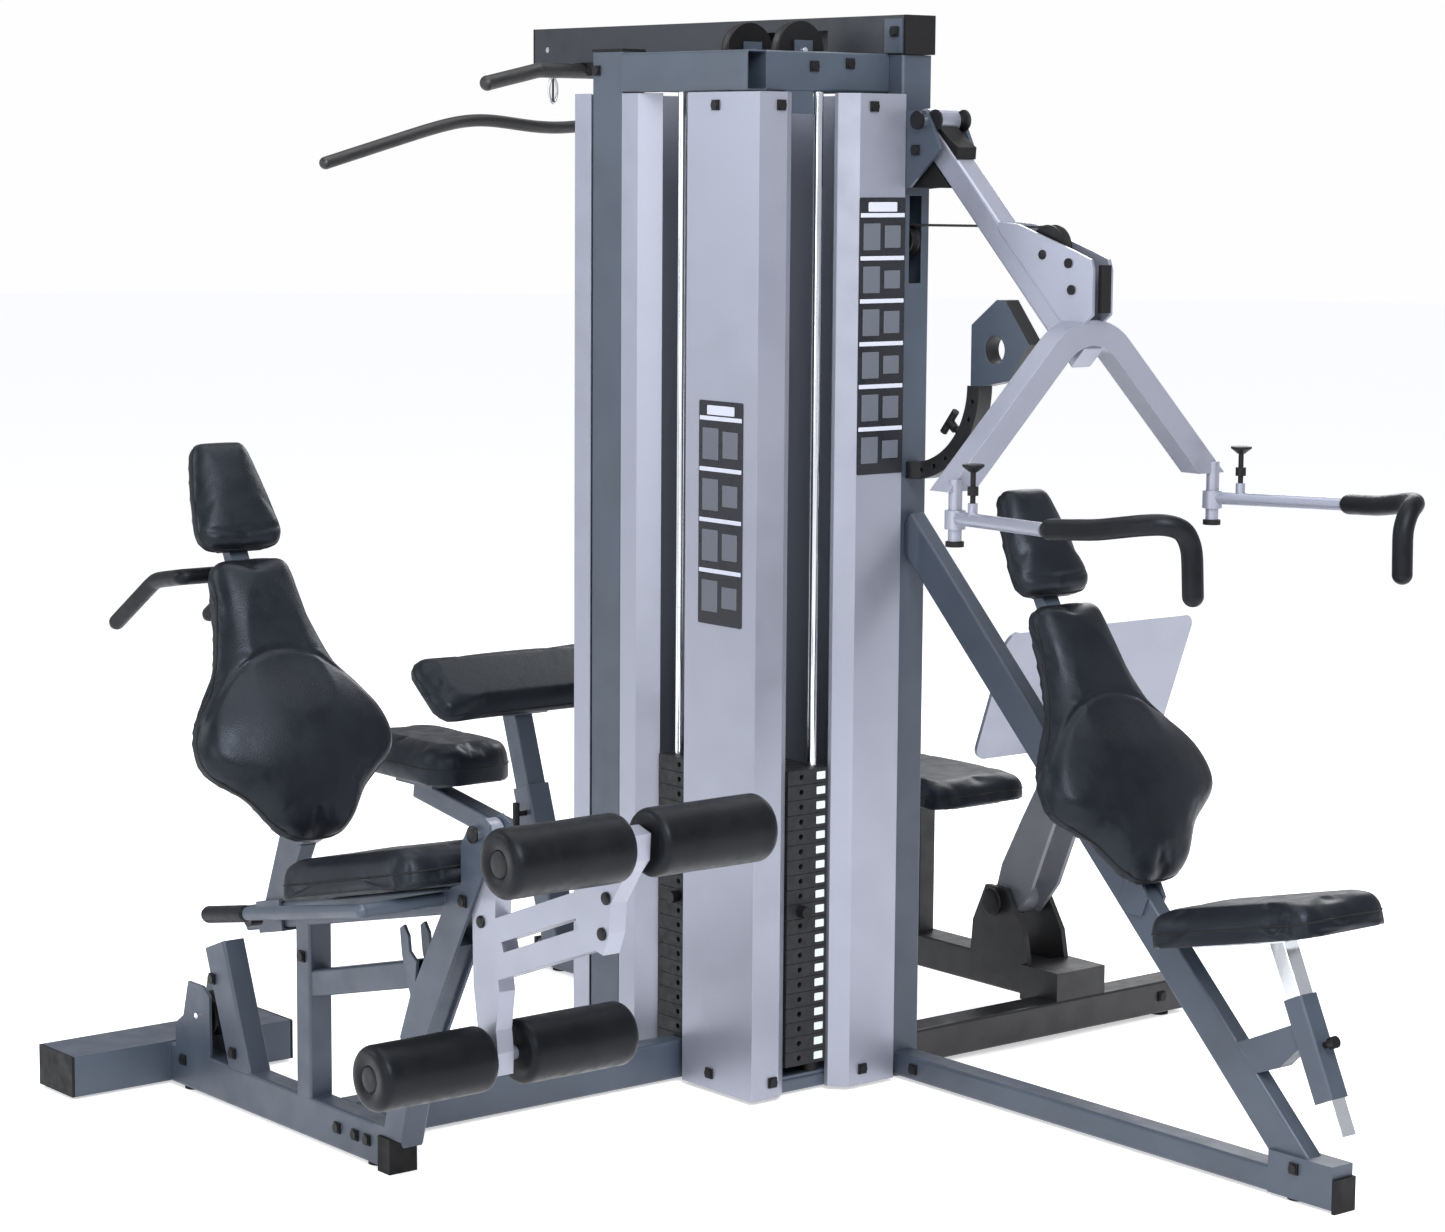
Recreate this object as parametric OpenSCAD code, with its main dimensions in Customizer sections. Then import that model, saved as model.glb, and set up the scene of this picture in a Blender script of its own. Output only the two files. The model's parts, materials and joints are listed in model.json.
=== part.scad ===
// Multi station home gym: a two-stack tower with press, leg, lat and leg press stations.
// Millimetres, +Z up. Origin on the floor at the tower's centre; +X towards the press
// station, -Y towards the leg station, -X towards the lat station, +Y towards the leg press.

/* [Tower] */
// Height of the uprights' tops, under the pulley beam
upright_top = 2031; // [2000:1:2060]
// Height of the pulley beam
beam_h = 76; // [60:1:80]
// Left end of the pulley beam, measured from the tower's centre
beam_reach = 930; // [900:1:1000]
// Height of the sheet covers' top edge
cover_top = 1955; // [1900:1:1956]
// Thickness of the sheet covers
sheet = 2.5; // [1.5:0.5:3]

/* [Weight stacks] */
// Number of plates in each stack
plate_count = 20; // [12:1:20]
// Number of plates above the selector pin
lifted_count = 10; // [2:1:12]
// Distance from one plate to the next
plate_pitch = 29.5; // [27:0.5:29.5]
// Thickness of a plate
plate_t = 28.5; // [24:0.5:28.5]
// Long side of a plate
plate_len = 205; // [190:1:205]
// Short side of a plate
plate_w = 100; // [90:1:100]
// Diameter of a guide rod
rod_d = 19; // [16:1:20]
// Diameter of the selector stem
stem_d = 22; // [18:1:24]
// Diameter of the selector pin
pin_d = 9.5; // [8:0.5:10]

/* [Tubes] */
// Outer size of the large square tube
tube = 76; // [70:1:76]
// Outer size of the small square tube
small_tube = 50; // [46:1:50]
// Wall of the tubes
wall = 3; // [2:0.5:4]

/* [Press station] */
// Centre plane of the press and lat stations
press_y = 170; // [168:1:172]
// Height of the press arm's pivot
pivot_z = 1905; // [1890:1:1915]
// Half distance between the two handle spindles
spindle_y = 335; // [325:1:345]
// Tilt of the seats, front up
seat_tilt = 13; // [8:1:14]
// Lean of the press back pad from the vertical
press_lean = 29.3; // [26:0.1:31]

/* [Leg station] */
// Centre plane of the leg station
leg_y = -1005; // [-1015:1:-1000]
// Height of the leg lever's pivot
knee_z = 670; // [660:1:680]
// Lean of the leg back pad from the vertical
leg_lean = 26.5; // [24:0.1:28]
// Outer diameter of a foam roller
roller_d = 118; // [100:1:122]

/* [Lat station] */
// Half length of the lat bar
lat_half = 605; // [560:1:640]
// Lean of the arm curl post from the vertical
curl_lean = 18.7; // [16:0.1:20]

/* [Leg press] */
// Centre plane of the leg press
lp_y = 690; // [680:1:700]
// Width of the footplate
foot_w = 540; // [500:1:580]

/* [Hidden] */

$fn = 32;

steel_blue = "#5b6873";
pearl = "#b4b6c4";
chrome = "#d5d8dc";
black = "#1b1c1f";
vinyl = "#202124";
foam = "#242426";
cast = "#2a2b2d";

// Tower plan
tower_left = -290;
tower_right = 285;
base_right = 261;
base_front = -185;
tower_front = -222;
cover_foot = 8;
back_y0 = press_y - tube / 2;
back_y1 = press_y + tube / 2;
deck_z = 40;
gap = 0.5;
rod_top = 1957;
header_t = 6;

// Stacks: the left one's end faces -Y, the right one's end faces +X
left_stack_x = 0;
left_stack_y = -95;
right_stack_x = 169.5;
right_stack_y = -79;
rod_span = 75;
left_rod_side = 18;
right_rod_side = 32;
stem_side = 16;
stack_z = 60.5;
stack_top = stack_z + plate_count * plate_pitch;
pin_z = stack_z + (plate_count - lifted_count + 0.5) * plate_pitch;
stem_x_left = left_stack_x + stem_side;
stem_y_right = right_stack_y - stem_side;

// Press station
pivot_x = 350;
spindle_x = 775;
arm_a = [332, 1888];
arm_b = [765, 1467];
arm_w = 50;
arm_pulley_at = [665, 1667];
yoke_x = 757;
yoke_d = 48;
apex_z = 1514;
yoke_end_z = 1238;
bracket_t = 7.5;
handle_z = 1190;
axle_d = 25;
run_gap = 0.05;
press_w = 54;
diag_a = [280, 1115];
diag_b = [1440, -28];
diag_w = 38;
post_lean = 25;
post_x = 1370;
post_z = 280;
post_w = 36;
sleeve_w = 46;
press_back_at = [1009, 529];
press_hinge = [-61, 28];
press_seat_at = [1251, 455];
guide_at = [300.6, 1400];
knob_angle = 39;
pad_t = 50;

// Leg station
knee_x = 510;
upper_axle = [920, 713];
lower_axle = [540, 281];
rail_lean = 12.5;
// Leaning tubes are a little slimmer, so that no two walls lie in one plane.
slim_tube = small_tube - 1;
rail_a = [-262, 386];
rail_b = [445, 386 + 707 * tan(rail_lean)];
slide_at = [-165, 407.5];
leg_back_at = [-8, 585];
handle_rod_y = 190;

// Lat station
curl_foot = [-885, 70];
lat_x = -915;
lat_z = 1890;

// ---------------------------------------------------------------- helpers

// Rectangle with rounded corners, made of exact arcs.
module rounded_rect(w, h, r) {
    square([w - 2 * r, h], center = true);
    square([w, h - 2 * r], center = true);
    for (sx = [-1, 1], sy = [-1, 1])
        translate([sx * (w / 2 - r), sy * (h / 2 - r)])
            circle(r);
}

// Open-ended rectangular tube along +Z from the origin.
module tube_z(w, h, length, t = wall) {
    difference() {
        linear_extrude(length)
            rounded_rect(w, h, 6);
        translate([0, 0, -1])
            linear_extrude(length + 2)
                rounded_rect(w - 2 * t, h - 2 * t, 6 - t);
    }
}

// Solid bar along +Z with the same rounded section.
module bar_z(w, h, length, t = 0) {
    linear_extrude(length)
        rounded_rect(w, h, 6 - t);
}

// Places children, drawn along +Z, on the line from a to b in the plane y.
module along_xz(a, b, y) {
    translate([a[0], y, a[1]])
        rotate([0, atan2(b[0] - a[0], b[1] - a[1]), 0])
            children();
}

// Tube in the plane y from a to b, each [x, z]; w is in that plane, h is along Y.
module tube_xz(a, b, y, w, h) {
    along_xz(a, b, y)
        tube_z(w, h, norm(b - a));
}

// Horizontal tubes.
module tube_x(x0, x1, y, z, w_y, w_z) {
    translate([x0, y, z])
        rotate([0, 90, 0])
            tube_z(w_z, w_y, x1 - x0);
}

module tube_y(y0, y1, x, z, w_x, w_z) {
    translate([x, y0, z])
        rotate([-90, 0, 0])
            tube_z(w_x, w_z, y1 - y0);
}

// Round bars.
module rod_y(x, y0, y1, z, d) {
    translate([x, y0, z])
        rotate([-90, 0, 0])
            cylinder(d = d, h = y1 - y0);
}

module rod_x(x0, x1, y, z, d) {
    translate([x0, y, z])
        rotate([0, 90, 0])
            cylinder(d = d, h = x1 - x0);
}

// Flat plate from an outline in the XZ plane, between y0 and y1.
module plate_xz(y0, y1, points) {
    translate([0, y1, 0])
        rotate([90, 0, 0])
            linear_extrude(y1 - y0)
                polygon(points);
}

// Block given by its lowest and highest corners.
module block(lo, hi) {
    translate(lo)
        cube(hi - lo);
}

// Round bar from p to q, any direction, with a round end at q.
module bar(p, q, d, ball = true) {
    v = q - p;
    translate(p)
        rotate([0, acos(v[2] / norm(v)), atan2(v[1], v[0])])
            cylinder(d = d, h = norm(v));
    if (ball)
        translate(q)
            sphere(d = d + 1);
}

// Soft bar through a list of points, a smooth faceted form.
module soft_bar(points, d) {
    for (i = [0 : len(points) - 2])
        hull() {
            translate(points[i])
                sphere(d = d, $fn = 24);
            translate(points[i + 1])
                sphere(d = d, $fn = 24);
        }
}

// Grooved pulley with a bore, its axis along +Z and centred on the origin.
module pulley(d, width, bore) {
    rotate_extrude()
        polygon([
            [bore / 2, -width / 2], [d / 2, -width / 2], [d / 2, -width / 2 + 3],
            [d / 2 - 8, -2], [d / 2 - 8, 2],
            [d / 2, width / 2 - 3], [d / 2, width / 2], [bore / 2, width / 2]
        ]);
}

module pulley_y(x, y, z, d = 114, width = 22) {
    translate([x, y, z])
        rotate([90, 0, 0])
            pulley(d, width, 12.1);
}

module pulley_x(x, y, z, d = 114, width = 22) {
    translate([x, y, z])
        rotate([0, 90, 0])
            pulley(d, width, 12.1);
}

// ---------------------------------------------------------------- tower

// Welded floor frame, deck and rear upright.
module tower_base() {
    color(steel_blue) {
        tube_x(tower_left, base_right, base_front + 25, 20, 50, 28);
        tube_x(tower_left, tower_right, press_y, 20, tube, 28);
        tube_y(base_front + 49, back_y0 + 1, -265, 20, 50, 28);
        tube_y(base_front + 49, back_y0 + 1, base_right - 25, 20, 50, 28);
        block([tower_left, base_front, 33.9], [base_right, back_y1, deck_z]);
        block([base_right - 10, back_y0 - 1, 33.9], [tower_right, back_y1, deck_z]);
        // Cross bar under the stacks, on the centre foot.
        block([-241, -20, 6], [212, 20, 34]);
        // Foot under the front left upright.
        block([-247, -219, 6], [-149, base_front + 1, deck_z]);
        translate([-252, press_y, deck_z - 0.1])
            tube_z(tube, tube, upright_top - deck_z);
    }
}

module left_upright() {
    color(steel_blue)
        translate([-198, -191, deck_z + gap])
            tube_z(100, 58, 2036 - deck_z - gap);
}

// Right rear upright, with the cable slot that faces the press station.
module right_upright() {
    color(steel_blue)
        difference() {
            translate([tower_right - tube / 2, press_y, deck_z + gap])
                tube_z(tube, tube, upright_top - deck_z - 2 * gap);
            block([tower_right - 10, press_y - 16, 1590], [tower_right + 5, press_y + 16, 1760]);
        }
}

// Front and right top beams, gusset and the header that holds the guide rods.
module top_frame() {
    color(steel_blue) {
        difference() {
            union() {
                tube_x(-147, 245, -200, 1995, 50, tube);
                tube_y(-176, back_y0 - gap, 220, 1995, 50, tube);
                block([-75, -176, rod_top + gap], [196, 120, rod_top + gap + header_t]);
                block([237, -130, 1915], [244, -60, 1958]);
            }
            translate([stem_x_left, left_stack_y, 1940])
                cylinder(d = 30, h = 40);
            translate([right_stack_x, stem_y_right, 1940])
                cylinder(d = 30, h = 40);
        }
        // Pairs of ears for the pulleys above the stacks.
        for (p = [[stem_x_left, left_stack_y + 57], [right_stack_x, stem_y_right + 57]])
            for (s = [-1, 1])
                difference() {
                    block([p[0] + s * 17 - 2.5, p[1] - 22, rod_top + header_t],
                          [p[0] + s * 17 + 2.5, p[1] + 22, 2056]);
                    rod_x(p[0] - 30, p[0] + 30, p[1], 2036, 12.2);
                }
        // End plate that ties the right beam to the pulley beam.
        block([236, back_y0 - 6 - gap, 2034], [tower_right, back_y0 - gap, 2100]);
    }
}

// Inverted channel that carries the pulleys.
module pulley_beam() {
    z0 = upright_top + gap;
    z1 = upright_top + beam_h;
    color("#3a4149")
        difference() {
            block([-beam_reach, back_y0, z0], [tower_right, back_y1, z1]);
            block([-beam_reach - 1, back_y0 + 5, z0 - 1],
                  [tower_right + 1, back_y1 - 5, z1 - 5]);
            rod_y(-884, back_y0 - 1, back_y1 + 1, z0 + 30, 12.2);
            block([-150, back_y0 - 1, z0 - 1], [60, back_y0 + 6, z0 + 50]);
        }
}

// Folded sheet column at the front right corner.
module corner_column() {
    color(pearl)
        translate([0, 0, cover_foot])
            linear_extrude(cover_top - cover_foot)
                polygon([
                    [62, -203], [62, tower_front], [280, tower_front], [280, -154],
                    [268, -134], [262, -134], [280 - sheet, -154.7],
                    [280 - sheet, tower_front + sheet], [62 + sheet, tower_front + sheet],
                    [62 + sheet, -203]
                ]);
}

// Left side cover and the folded sheet beside the left gap, with a chamfered edge.
module left_covers() {
    color(pearl)
        translate([0, 0, cover_foot])
            linear_extrude(cover_top - cover_foot) {
                polygon([
                    [-147, tower_front], [-95, tower_front], [-60, -187], [-61.8, -185.2],
                    [-96, tower_front + sheet], [-147, tower_front + sheet]
                ]);
                polygon([
                    [-249, tower_front], [-249, tower_front + sheet],
                    [-302 + sheet, tower_front + sheet], [-302 + sheet, 130],
                    [-302, 130], [-302, tower_front]
                ]);
            }
}

// Rear cover and the folded sheet beside the right gap, with a chamfered edge.
module right_covers() {
    color(pearl) {
        translate([0, 0, cover_foot])
            linear_extrude(cover_top - cover_foot)
                polygon([
                    [306, back_y0 - 9], [306, 6], [276, -24], [266, -24],
                    [266, -24 + sheet], [275, -24 + sheet], [306 - sheet, 7],
                    [306 - sheet, back_y0 - 9]
                ]);
        translate([-213, back_y1 - 8, deck_z + 5])
            cube([421, sheet, cover_top - deck_z - 5]);
    }
}

// Four chrome guide rods.
module guide_rods() {
    color(chrome)
        for (s = [-1, 1]) {
            translate([left_stack_x - left_rod_side, left_stack_y + s * rod_span, deck_z + 0.05])
                cylinder(d = rod_d, h = rod_top - deck_z - gap);
            translate([right_stack_x + s * rod_span, right_stack_y + right_rod_side, deck_z + 0.05])
                cylinder(d = rod_d, h = rod_top - deck_z - gap);
        }
}

// One plate with its long side along X, the rod and stem holes and the pin bore.
module stack_plate(rod_side) {
    difference() {
        translate([-plate_len / 2, -plate_w / 2, 0])
            cube([plate_len, plate_w, plate_t]);
        for (s = [-1, 1])
            translate([s * rod_span, rod_side, -1])
                cylinder(d = rod_d + 2, h = plate_t + 2);
        translate([0, -stem_side, -1])
            cylinder(d = stem_d + 4, h = plate_t + 2);
        rod_x(0, plate_len, -stem_side, plate_pitch / 2, pin_d + 1.5);
    }
}

// Plates from index a to b - 1 counted from the bottom, in the right stack's direction.
module plates(a, b, rod_side) {
    for (i = [a : b - 1])
        translate([0, 0, stack_z + i * plate_pitch])
            stack_plate(rod_side);
}

// Stem from the floor of the stack to above the top plate, with one pin hole a plate.
module stem() {
    difference() {
        translate([0, -stem_side, stack_z + 4])
            cylinder(d = stem_d, h = stack_top - stack_z + 60);
        for (i = [0 : plate_count - 1])
            rod_x(-40, 40, -stem_side, stack_z + (i + 0.5) * plate_pitch, pin_d + 1);
    }
    translate([0, -stem_side, stack_top])
        cylinder(d = 46, h = 22);
}

module place_left() {
    translate([left_stack_x, left_stack_y, 0])
        mirror([1, 0, 0])
            rotate([0, 0, -90])
                children();
}

module place_right() {
    translate([right_stack_x, right_stack_y, 0])
        children();
}

module rest_plates() {
    color(cast) {
        place_left()
            plates(0, plate_count - lifted_count, left_rod_side);
        place_right()
            plates(0, plate_count - lifted_count, right_rod_side);
    }
}

module left_lifted_stack() {
    color(cast)
        place_left()
            plates(plate_count - lifted_count, plate_count, left_rod_side);
    color(chrome)
        place_left()
            stem();
}

module right_lifted_stack() {
    color(cast)
        place_right()
            plates(plate_count - lifted_count, plate_count, right_rod_side);
    color(chrome)
        place_right()
            stem();
}

// Selector pin: steel pin with a round knob, in the stack's direction.
module selector_pin() {
    face = plate_len / 2;
    rod_x(-4, face + 14, -stem_side, pin_z, pin_d);
    rod_x(face + 3, face + 22, -stem_side, pin_z, 24);
}

module left_pin() {
    color(black)
        place_left()
            selector_pin();
}

module right_pin() {
    color(black)
        place_right()
            selector_pin();
}

// Rubber rings that the stacks rest on and the block that the press arm rests on.
module rubber_stops() {
    color(black) {
        for (s = [-1, 1])
            for (p = [[left_stack_x - left_rod_side, left_stack_y + s * rod_span],
                      [right_stack_x + s * rod_span, right_stack_y + right_rod_side]])
                translate([p[0], p[1], deck_z + 0.05])
                    difference() {
                        cylinder(d = 34, h = stack_z - deck_z - 0.5);
                        translate([0, 0, -1])
                            cylinder(d = rod_d + 0.4, h = 30);
                    }
        plate_xz(press_y - 25, press_y + 25, [
            [tower_right + gap, 1776], [409, 1776], [355.5, 1828], [tower_right + gap, 1828]
        ]);
    }
}

// End plugs of the tubes and the rubber feet.
module tube_caps() {
    color(black) {
        // Press foot, leg base, leg press tube, lat base and the foot brace's ends.
        block([1440.5, press_y - press_w / 2, 0], [1448, press_y + press_w / 2, 62]);
        block([201, leg_y - 30, 0], [240, leg_y + 30, 66]);
        block([195, 1011, 12], [265, 1021, 80]);
        block([-941, press_y - 32, 0], [-931, press_y + 32, 70]);
        block([-690, -1246, 6], [-556, -1240.5, 86]);
        block([-690, -749.5, 6], [-556, -744, 86]);
        // Upright tops and the pulley beam's ends.
        block([-248, -220, 2036.5], [-148, -162, 2042]);
        block([tower_right + gap, back_y0, upright_top + gap],
              [tower_right + 8, back_y1, upright_top + beam_h]);
        block([-beam_reach - 6, back_y0, upright_top + gap],
              [-beam_reach - gap, back_y1, upright_top + beam_h]);
        // Low rubber feet under the frames.
        for (p = [[0, 0], [-265, -160], [236, -160], [-265, press_y], [262, press_y],
                  [1340, press_y], [-500, leg_y], [160, leg_y], [-620, -1200],
                  [-620, -800], [230, 960], [-880, press_y], [-900, lp_y]])
            translate([p[0], p[1], 0])
                cylinder(d = 40, h = 5.5);
    }
}

// One domed square cap over a bolt head, its back on the XY plane.
module bolt_cap(size = 20) {
    translate([0, 0, 2.05])
        cube([size, size, 4], center = true);
    translate([0, 0, 4])
        cylinder(d = size - 2, h = 3);
}

module cap_front(x, y, z) {
    translate([x, y, z])
        rotate([90, 0, 0])
            bolt_cap();
}

module cap_right(x, y, z) {
    translate([x, y, z])
        rotate([0, 90, 0])
            bolt_cap();
}

// Black caps over the frame's bolts.
module bolt_caps() {
    color(black) {
        for (z = [40, 1930]) {
            cap_front(150, tower_front, z);
            cap_right(280, -170, z);
            cap_right(306, 40, z);
        }
        cap_right(245, -60, 2005);
        cap_right(245, 30, 2012);
        cap_front(268, back_y0 - 7, 2075);
        cap_front(-230, -220, 2000);
        cap_front(335, back_y0 - bracket_t - gap, 1848);
        // Leg station.
        cap_front(-500, leg_y - 25, 60);
        cap_front(-385, leg_y - 25, 245);
        cap_front(-312, leg_y - 25, 112);
        cap_front(-58, leg_y - 25, 350);
        for (x = [60, 120, 160])
            cap_front(x, leg_y - 25, 48);
        cap_front(470, leg_y - 25, 545);
        // Press station.
        cap_front(1352, press_y - press_w / 2, 62);
        cap_front(345, press_y - press_w / 2, 30);
        cap_right(265, 930, 48);
        for (s = [-1, 1])
            rod_y(pivot_x, press_y + s * 57.5 - 3, press_y + s * 57.5 + 3, pivot_z, 36);
    }
}

// ---------------------------------------------------------------- pulleys

module left_stack_pulley() {
    color(black)
        pulley_x(stem_x_left, left_stack_y + 57, 2036);
}

module right_stack_pulley() {
    color(black)
        pulley_x(right_stack_x, stem_y_right + 57, 2036);
}

module lat_pulley() {
    color(black)
        pulley_y(-884, press_y, upright_top + gap + 30, 80);
}

module slot_pulley() {
    color(black)
        pulley_y(256, press_y, 1675, 64);
}

module arm_pulley() {
    color(black)
        pulley_y(arm_pulley_at[0], press_y, arm_pulley_at[1], 88);
}

module low_pulley() {
    color(black)
        pulley_y(-443, leg_y, 160, 90);
}

// Axles of the pulleys and of the two levers.
module pivot_axles() {
    color(chrome) {
        rod_y(pivot_x, press_y - 54, press_y + 54, pivot_z, axle_d);
        rod_y(knee_x, leg_y - 32, leg_y + 32, knee_z, 20);
        for (p = [[stem_x_left, left_stack_y + 57], [right_stack_x, stem_y_right + 57]])
            rod_x(p[0] - 24, p[0] + 24, p[1], 2036, 12);
        rod_y(-884, press_y - 38, press_y + 38, upright_top + gap + 30, 12);
        rod_y(256, press_y - 34.8, press_y + 34.8, 1675, 12);
        rod_y(-443, leg_y - 30, leg_y + 30, 160, 12);
        rod_y(60, lp_y - 70, lp_y + 70, 260, 20);
    }
}

// ---------------------------------------------------------------- press station

module bracket_side(y0, y1) {
    difference() {
        plate_xz(y0, y1, [
            [245, 1923], [360, 1923], [378, 1898], [404, 1850], [372, 1823], [316, 1776],
            [245, 1770]
        ]);
        rod_y(pivot_x, y0 - 1, y1 + 1, pivot_z, axle_d + 0.2);
    }
}

// Side plates on the right upright that hold the press arm's axle.
module pivot_bracket() {
    color(steel_blue) {
        bracket_side(back_y0 - gap - bracket_t, back_y0 - gap);
        bracket_side(back_y1 + gap, back_y1 + gap + bracket_t);
    }
}

// Press arm: tube with its pivot boss and pulley cheeks, yoke and handle spindles.
module press_arm() {
    color(pearl)
        difference() {
            union() {
                along_xz(arm_a, arm_b, press_y)
                    bar_z(arm_w, arm_w, norm(arm_b - arm_a));
                rod_y(pivot_x, press_y - 36, press_y + 36, pivot_z, 44);
                for (s = [-1, 1])
                    translate([0, s * 23, 0])
                        plate_xz(press_y - 3.5, press_y + 3.5, [
                            [549, 1714], [600, 1711], [751, 1665], [795, 1650], [802, 1631],
                            [802, 1548], [772, 1525], [735, 1520], [549, 1698]
                        ]);
                translate([yoke_x - yoke_d / 2, press_y, 0])
                    rotate([90, 0, 90])
                        linear_extrude(yoke_d)
                            yoke_outline(110, 44.5, 420);
                for (s = [-1, 1])
                    translate([spindle_x, press_y + s * spindle_y, 1148])
                        cylinder(d = axle_d, h = 112);
            }
            rod_y(pivot_x, press_y - 60, press_y + 60, pivot_z, axle_d + 2 * run_gap);
        }
    color(chrome)
        rod_y(arm_pulley_at[0], press_y - 27, press_y + 27, arm_pulley_at[1], 12);
}

// Outline of the yoke in its own plane: a round apex and two legs cut off level.
module yoke_outline(r, drop, leg) {
    zc = apex_z - r;
    far = 400;
    difference() {
        union() {
            translate([0, zc])
                difference() {
                    circle(r + yoke_d / 2, $fn = 64);
                    circle(r - yoke_d / 2, $fn = 64);
                    polygon([
                        [0, 0], [-far * sin(drop), far * cos(drop)], [-far, -far],
                        [far, -far], [far * sin(drop), far * cos(drop)]
                    ]);
                }
            for (s = [-1, 1])
                translate([s * r * sin(drop), zc + r * cos(drop)])
                    rotate(-s * drop)
                        translate([s > 0 ? -1 : 1 - leg, -yoke_d / 2])
                            square([leg, yoke_d]);
        }
        translate([-far, 0])
            square([2 * far, yoke_end_z]);
    }
}

// Rubber parts of the press arm: stop blocks, spindle end caps and bolt caps.
module arm_bumpers() {
    color(black) {
        plate_xz(press_y - 24, press_y + 24, [
            [369, 1888], [374, 1893.5], [401, 1872], [430, 1853.5], [428, 1830.9]
        ]);
        block([802.5, press_y - 12, 1552], [812, press_y + 12, 1640]);
        for (s = [-1, 1]) {
            translate([spindle_x, press_y + s * spindle_y, 1138])
                cylinder(d = 34, h = 9.5);
            for (p = [[739, 1642], [748, 1593]])
                rod_y(p[0], press_y + s * 28.5 - 2, press_y + s * 28.5 + 2, p[1], 18);
        }
    }
}

// Handle bar with its boss on the spindle; s is -1 for the -Y side.
module handle(s) {
    start = [spindle_x, press_y + s * spindle_y, handle_z];
    color(pearl)
        difference() {
            union() {
                translate(start - [0, 0, 20])
                    cylinder(d = 38, h = 34);
                bar(start, [1062, press_y + s * 392, 1197], 25, false);
                translate([835, press_y + s * 348, 1196])
                    cylinder(d = 18, h = 26);
            }
            translate(start - [0, 0, 40])
                cylinder(d = axle_d + 2 * run_gap, h = 80);
            translate([835, press_y + s * 348, 1210])
                cylinder(d = 10.4, h = 30);
        }
}

// Foam grip: along the bar, inwards round the bend and down.
module grip(s) {
    y = press_y;
    color(foam)
        difference() {
            soft_bar([
                [1056, y + s * 391, 1197], [1165, y + s * 366, 1204],
                [1250, y + s * 346, 1218], [1286, y + s * 324, 1222],
                [1298, y + s * 290, 1212], [1300, y + s * 272, 1178],
                [1304, y + s * 270, 1078]
            ], 38);
            block([900, -500, 1100], [1065.5, 900, 1300]);
        }
}

module left_handle() {
    handle(-1);
}

module right_handle() {
    handle(1);
}

module left_grip() {
    grip(-1);
}

module right_grip() {
    grip(1);
}

// Spring pin with a mushroom knob that locks a handle.
module pop_pin(s) {
    color(black)
        translate([835, press_y + s * 348, 0]) {
            translate([0, 0, 1211])
                cylinder(d = 10, h = 70);
            translate([0, 0, 1236])
                cylinder(d = 20, h = 16);
            translate([0, 0, 1278])
                cylinder(d1 = 14, d2 = 40, h = 10);
            translate([0, 0, 1288])
                cylinder(d = 40, h = 4);
        }
}

module left_pop_pin() {
    pop_pin(-1);
}

module right_pop_pin() {
    pop_pin(1);
}

// Base tube, diagonal, seat sleeve and the back pad's hinge plates, welded together.
module press_frame() {
    x0 = tower_right + gap + 0.1;
    sleeve_a = [post_x + 95 * sin(post_lean), post_z - 95 * cos(post_lean)];
    sleeve_b = [post_x - 95 * sin(post_lean), post_z + 95 * cos(post_lean)];
    color(steel_blue)
        difference() {
            union() {
                tube_x(x0, 1400, press_y, 30, press_w, 48);
                tube_xz(diag_a, diag_b, press_y, 72, diag_w);
                tube_xz(sleeve_a, sleeve_b, press_y, sleeve_w, sleeve_w);
                // Gusset between the diagonal and the sleeve.
                plate_xz(press_y - 17, press_y + 17, [
                    [1130, 245], [1208, 262], [1335, 320], [1352, 283], [1300, 232], [1190, 190]
                ]);
                block([1290, press_y - press_w / 2, 6], [1440, press_y + press_w / 2, 84]);
                for (s = [-1, 1])
                    translate([0, s * 22, 0])
                        plate_xz(press_y - 3.5, press_y + 3.5, [
                            [921, 450], [900, 470], [929, 531], [937, 533], [947, 532],
                            [953, 524], [975, 482], [962, 450]
                        ]);
            }
            block([0, -400, -100], [x0, 600, 2000]);
            block([300, -400, -100], [1600, 600, 6]);
            block([1440, -400, -100], [1600, 600, 150]);
            along_xz(sleeve_a, sleeve_b, press_y)
                translate([0, 0, -60])
                    linear_extrude(330)
                        rounded_rect(post_w + 1, post_w + 1, 3);
            rod_y(hinge_x(), press_y - 60, press_y + 60, hinge_z(), 10.2);
        }
}

// The back pad's hinge axis in the frame's own coordinates.
function hinge_x() = press_back_at[0] + press_hinge[0] * cos(press_lean) - press_hinge[1] * sin(press_lean);
function hinge_z() = press_back_at[1] + press_hinge[0] * sin(press_lean) + press_hinge[1] * cos(press_lean);

module place_press_seat() {
    translate([press_seat_at[0], press_y, press_seat_at[1]])
        rotate([0, -seat_tilt, 0])
            children();
}

// Chrome post that slides in the sleeve, with the seat's plate.
module press_seat_post() {
    color(chrome)
        translate([post_x, press_y, post_z])
            rotate([0, -post_lean, 0])
                translate([0, 0, -162])
                    linear_extrude(362)
                        rounded_rect(post_w, post_w, 3);
    color(black)
        place_press_seat()
            block([-110, -75, -1], [110, 75, 5]);
}

// Simple cushion: a rounded block of the given length, width and thickness.
module cushion(length, width, t, r = 45) {
    linear_extrude(t)
        rounded_rect(length, width, r);
}

module press_seat() {
    color(vinyl)
        place_press_seat()
            translate([0, 0, 5.5])
                cushion(400, 245, 64);
}

// Pull pin on the front of the seat's sleeve.
module press_seat_pin() {
    color(black)
        translate([post_x, press_y, post_z])
            rotate([0, 90 - post_lean, 0])
                translate([0, 0, sleeve_w / 2 + 0.5]) {
                    cylinder(d = 12, h = 24);
                    translate([0, 0, 14])
                        cylinder(d = 22, h = 14);
                }
}

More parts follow.
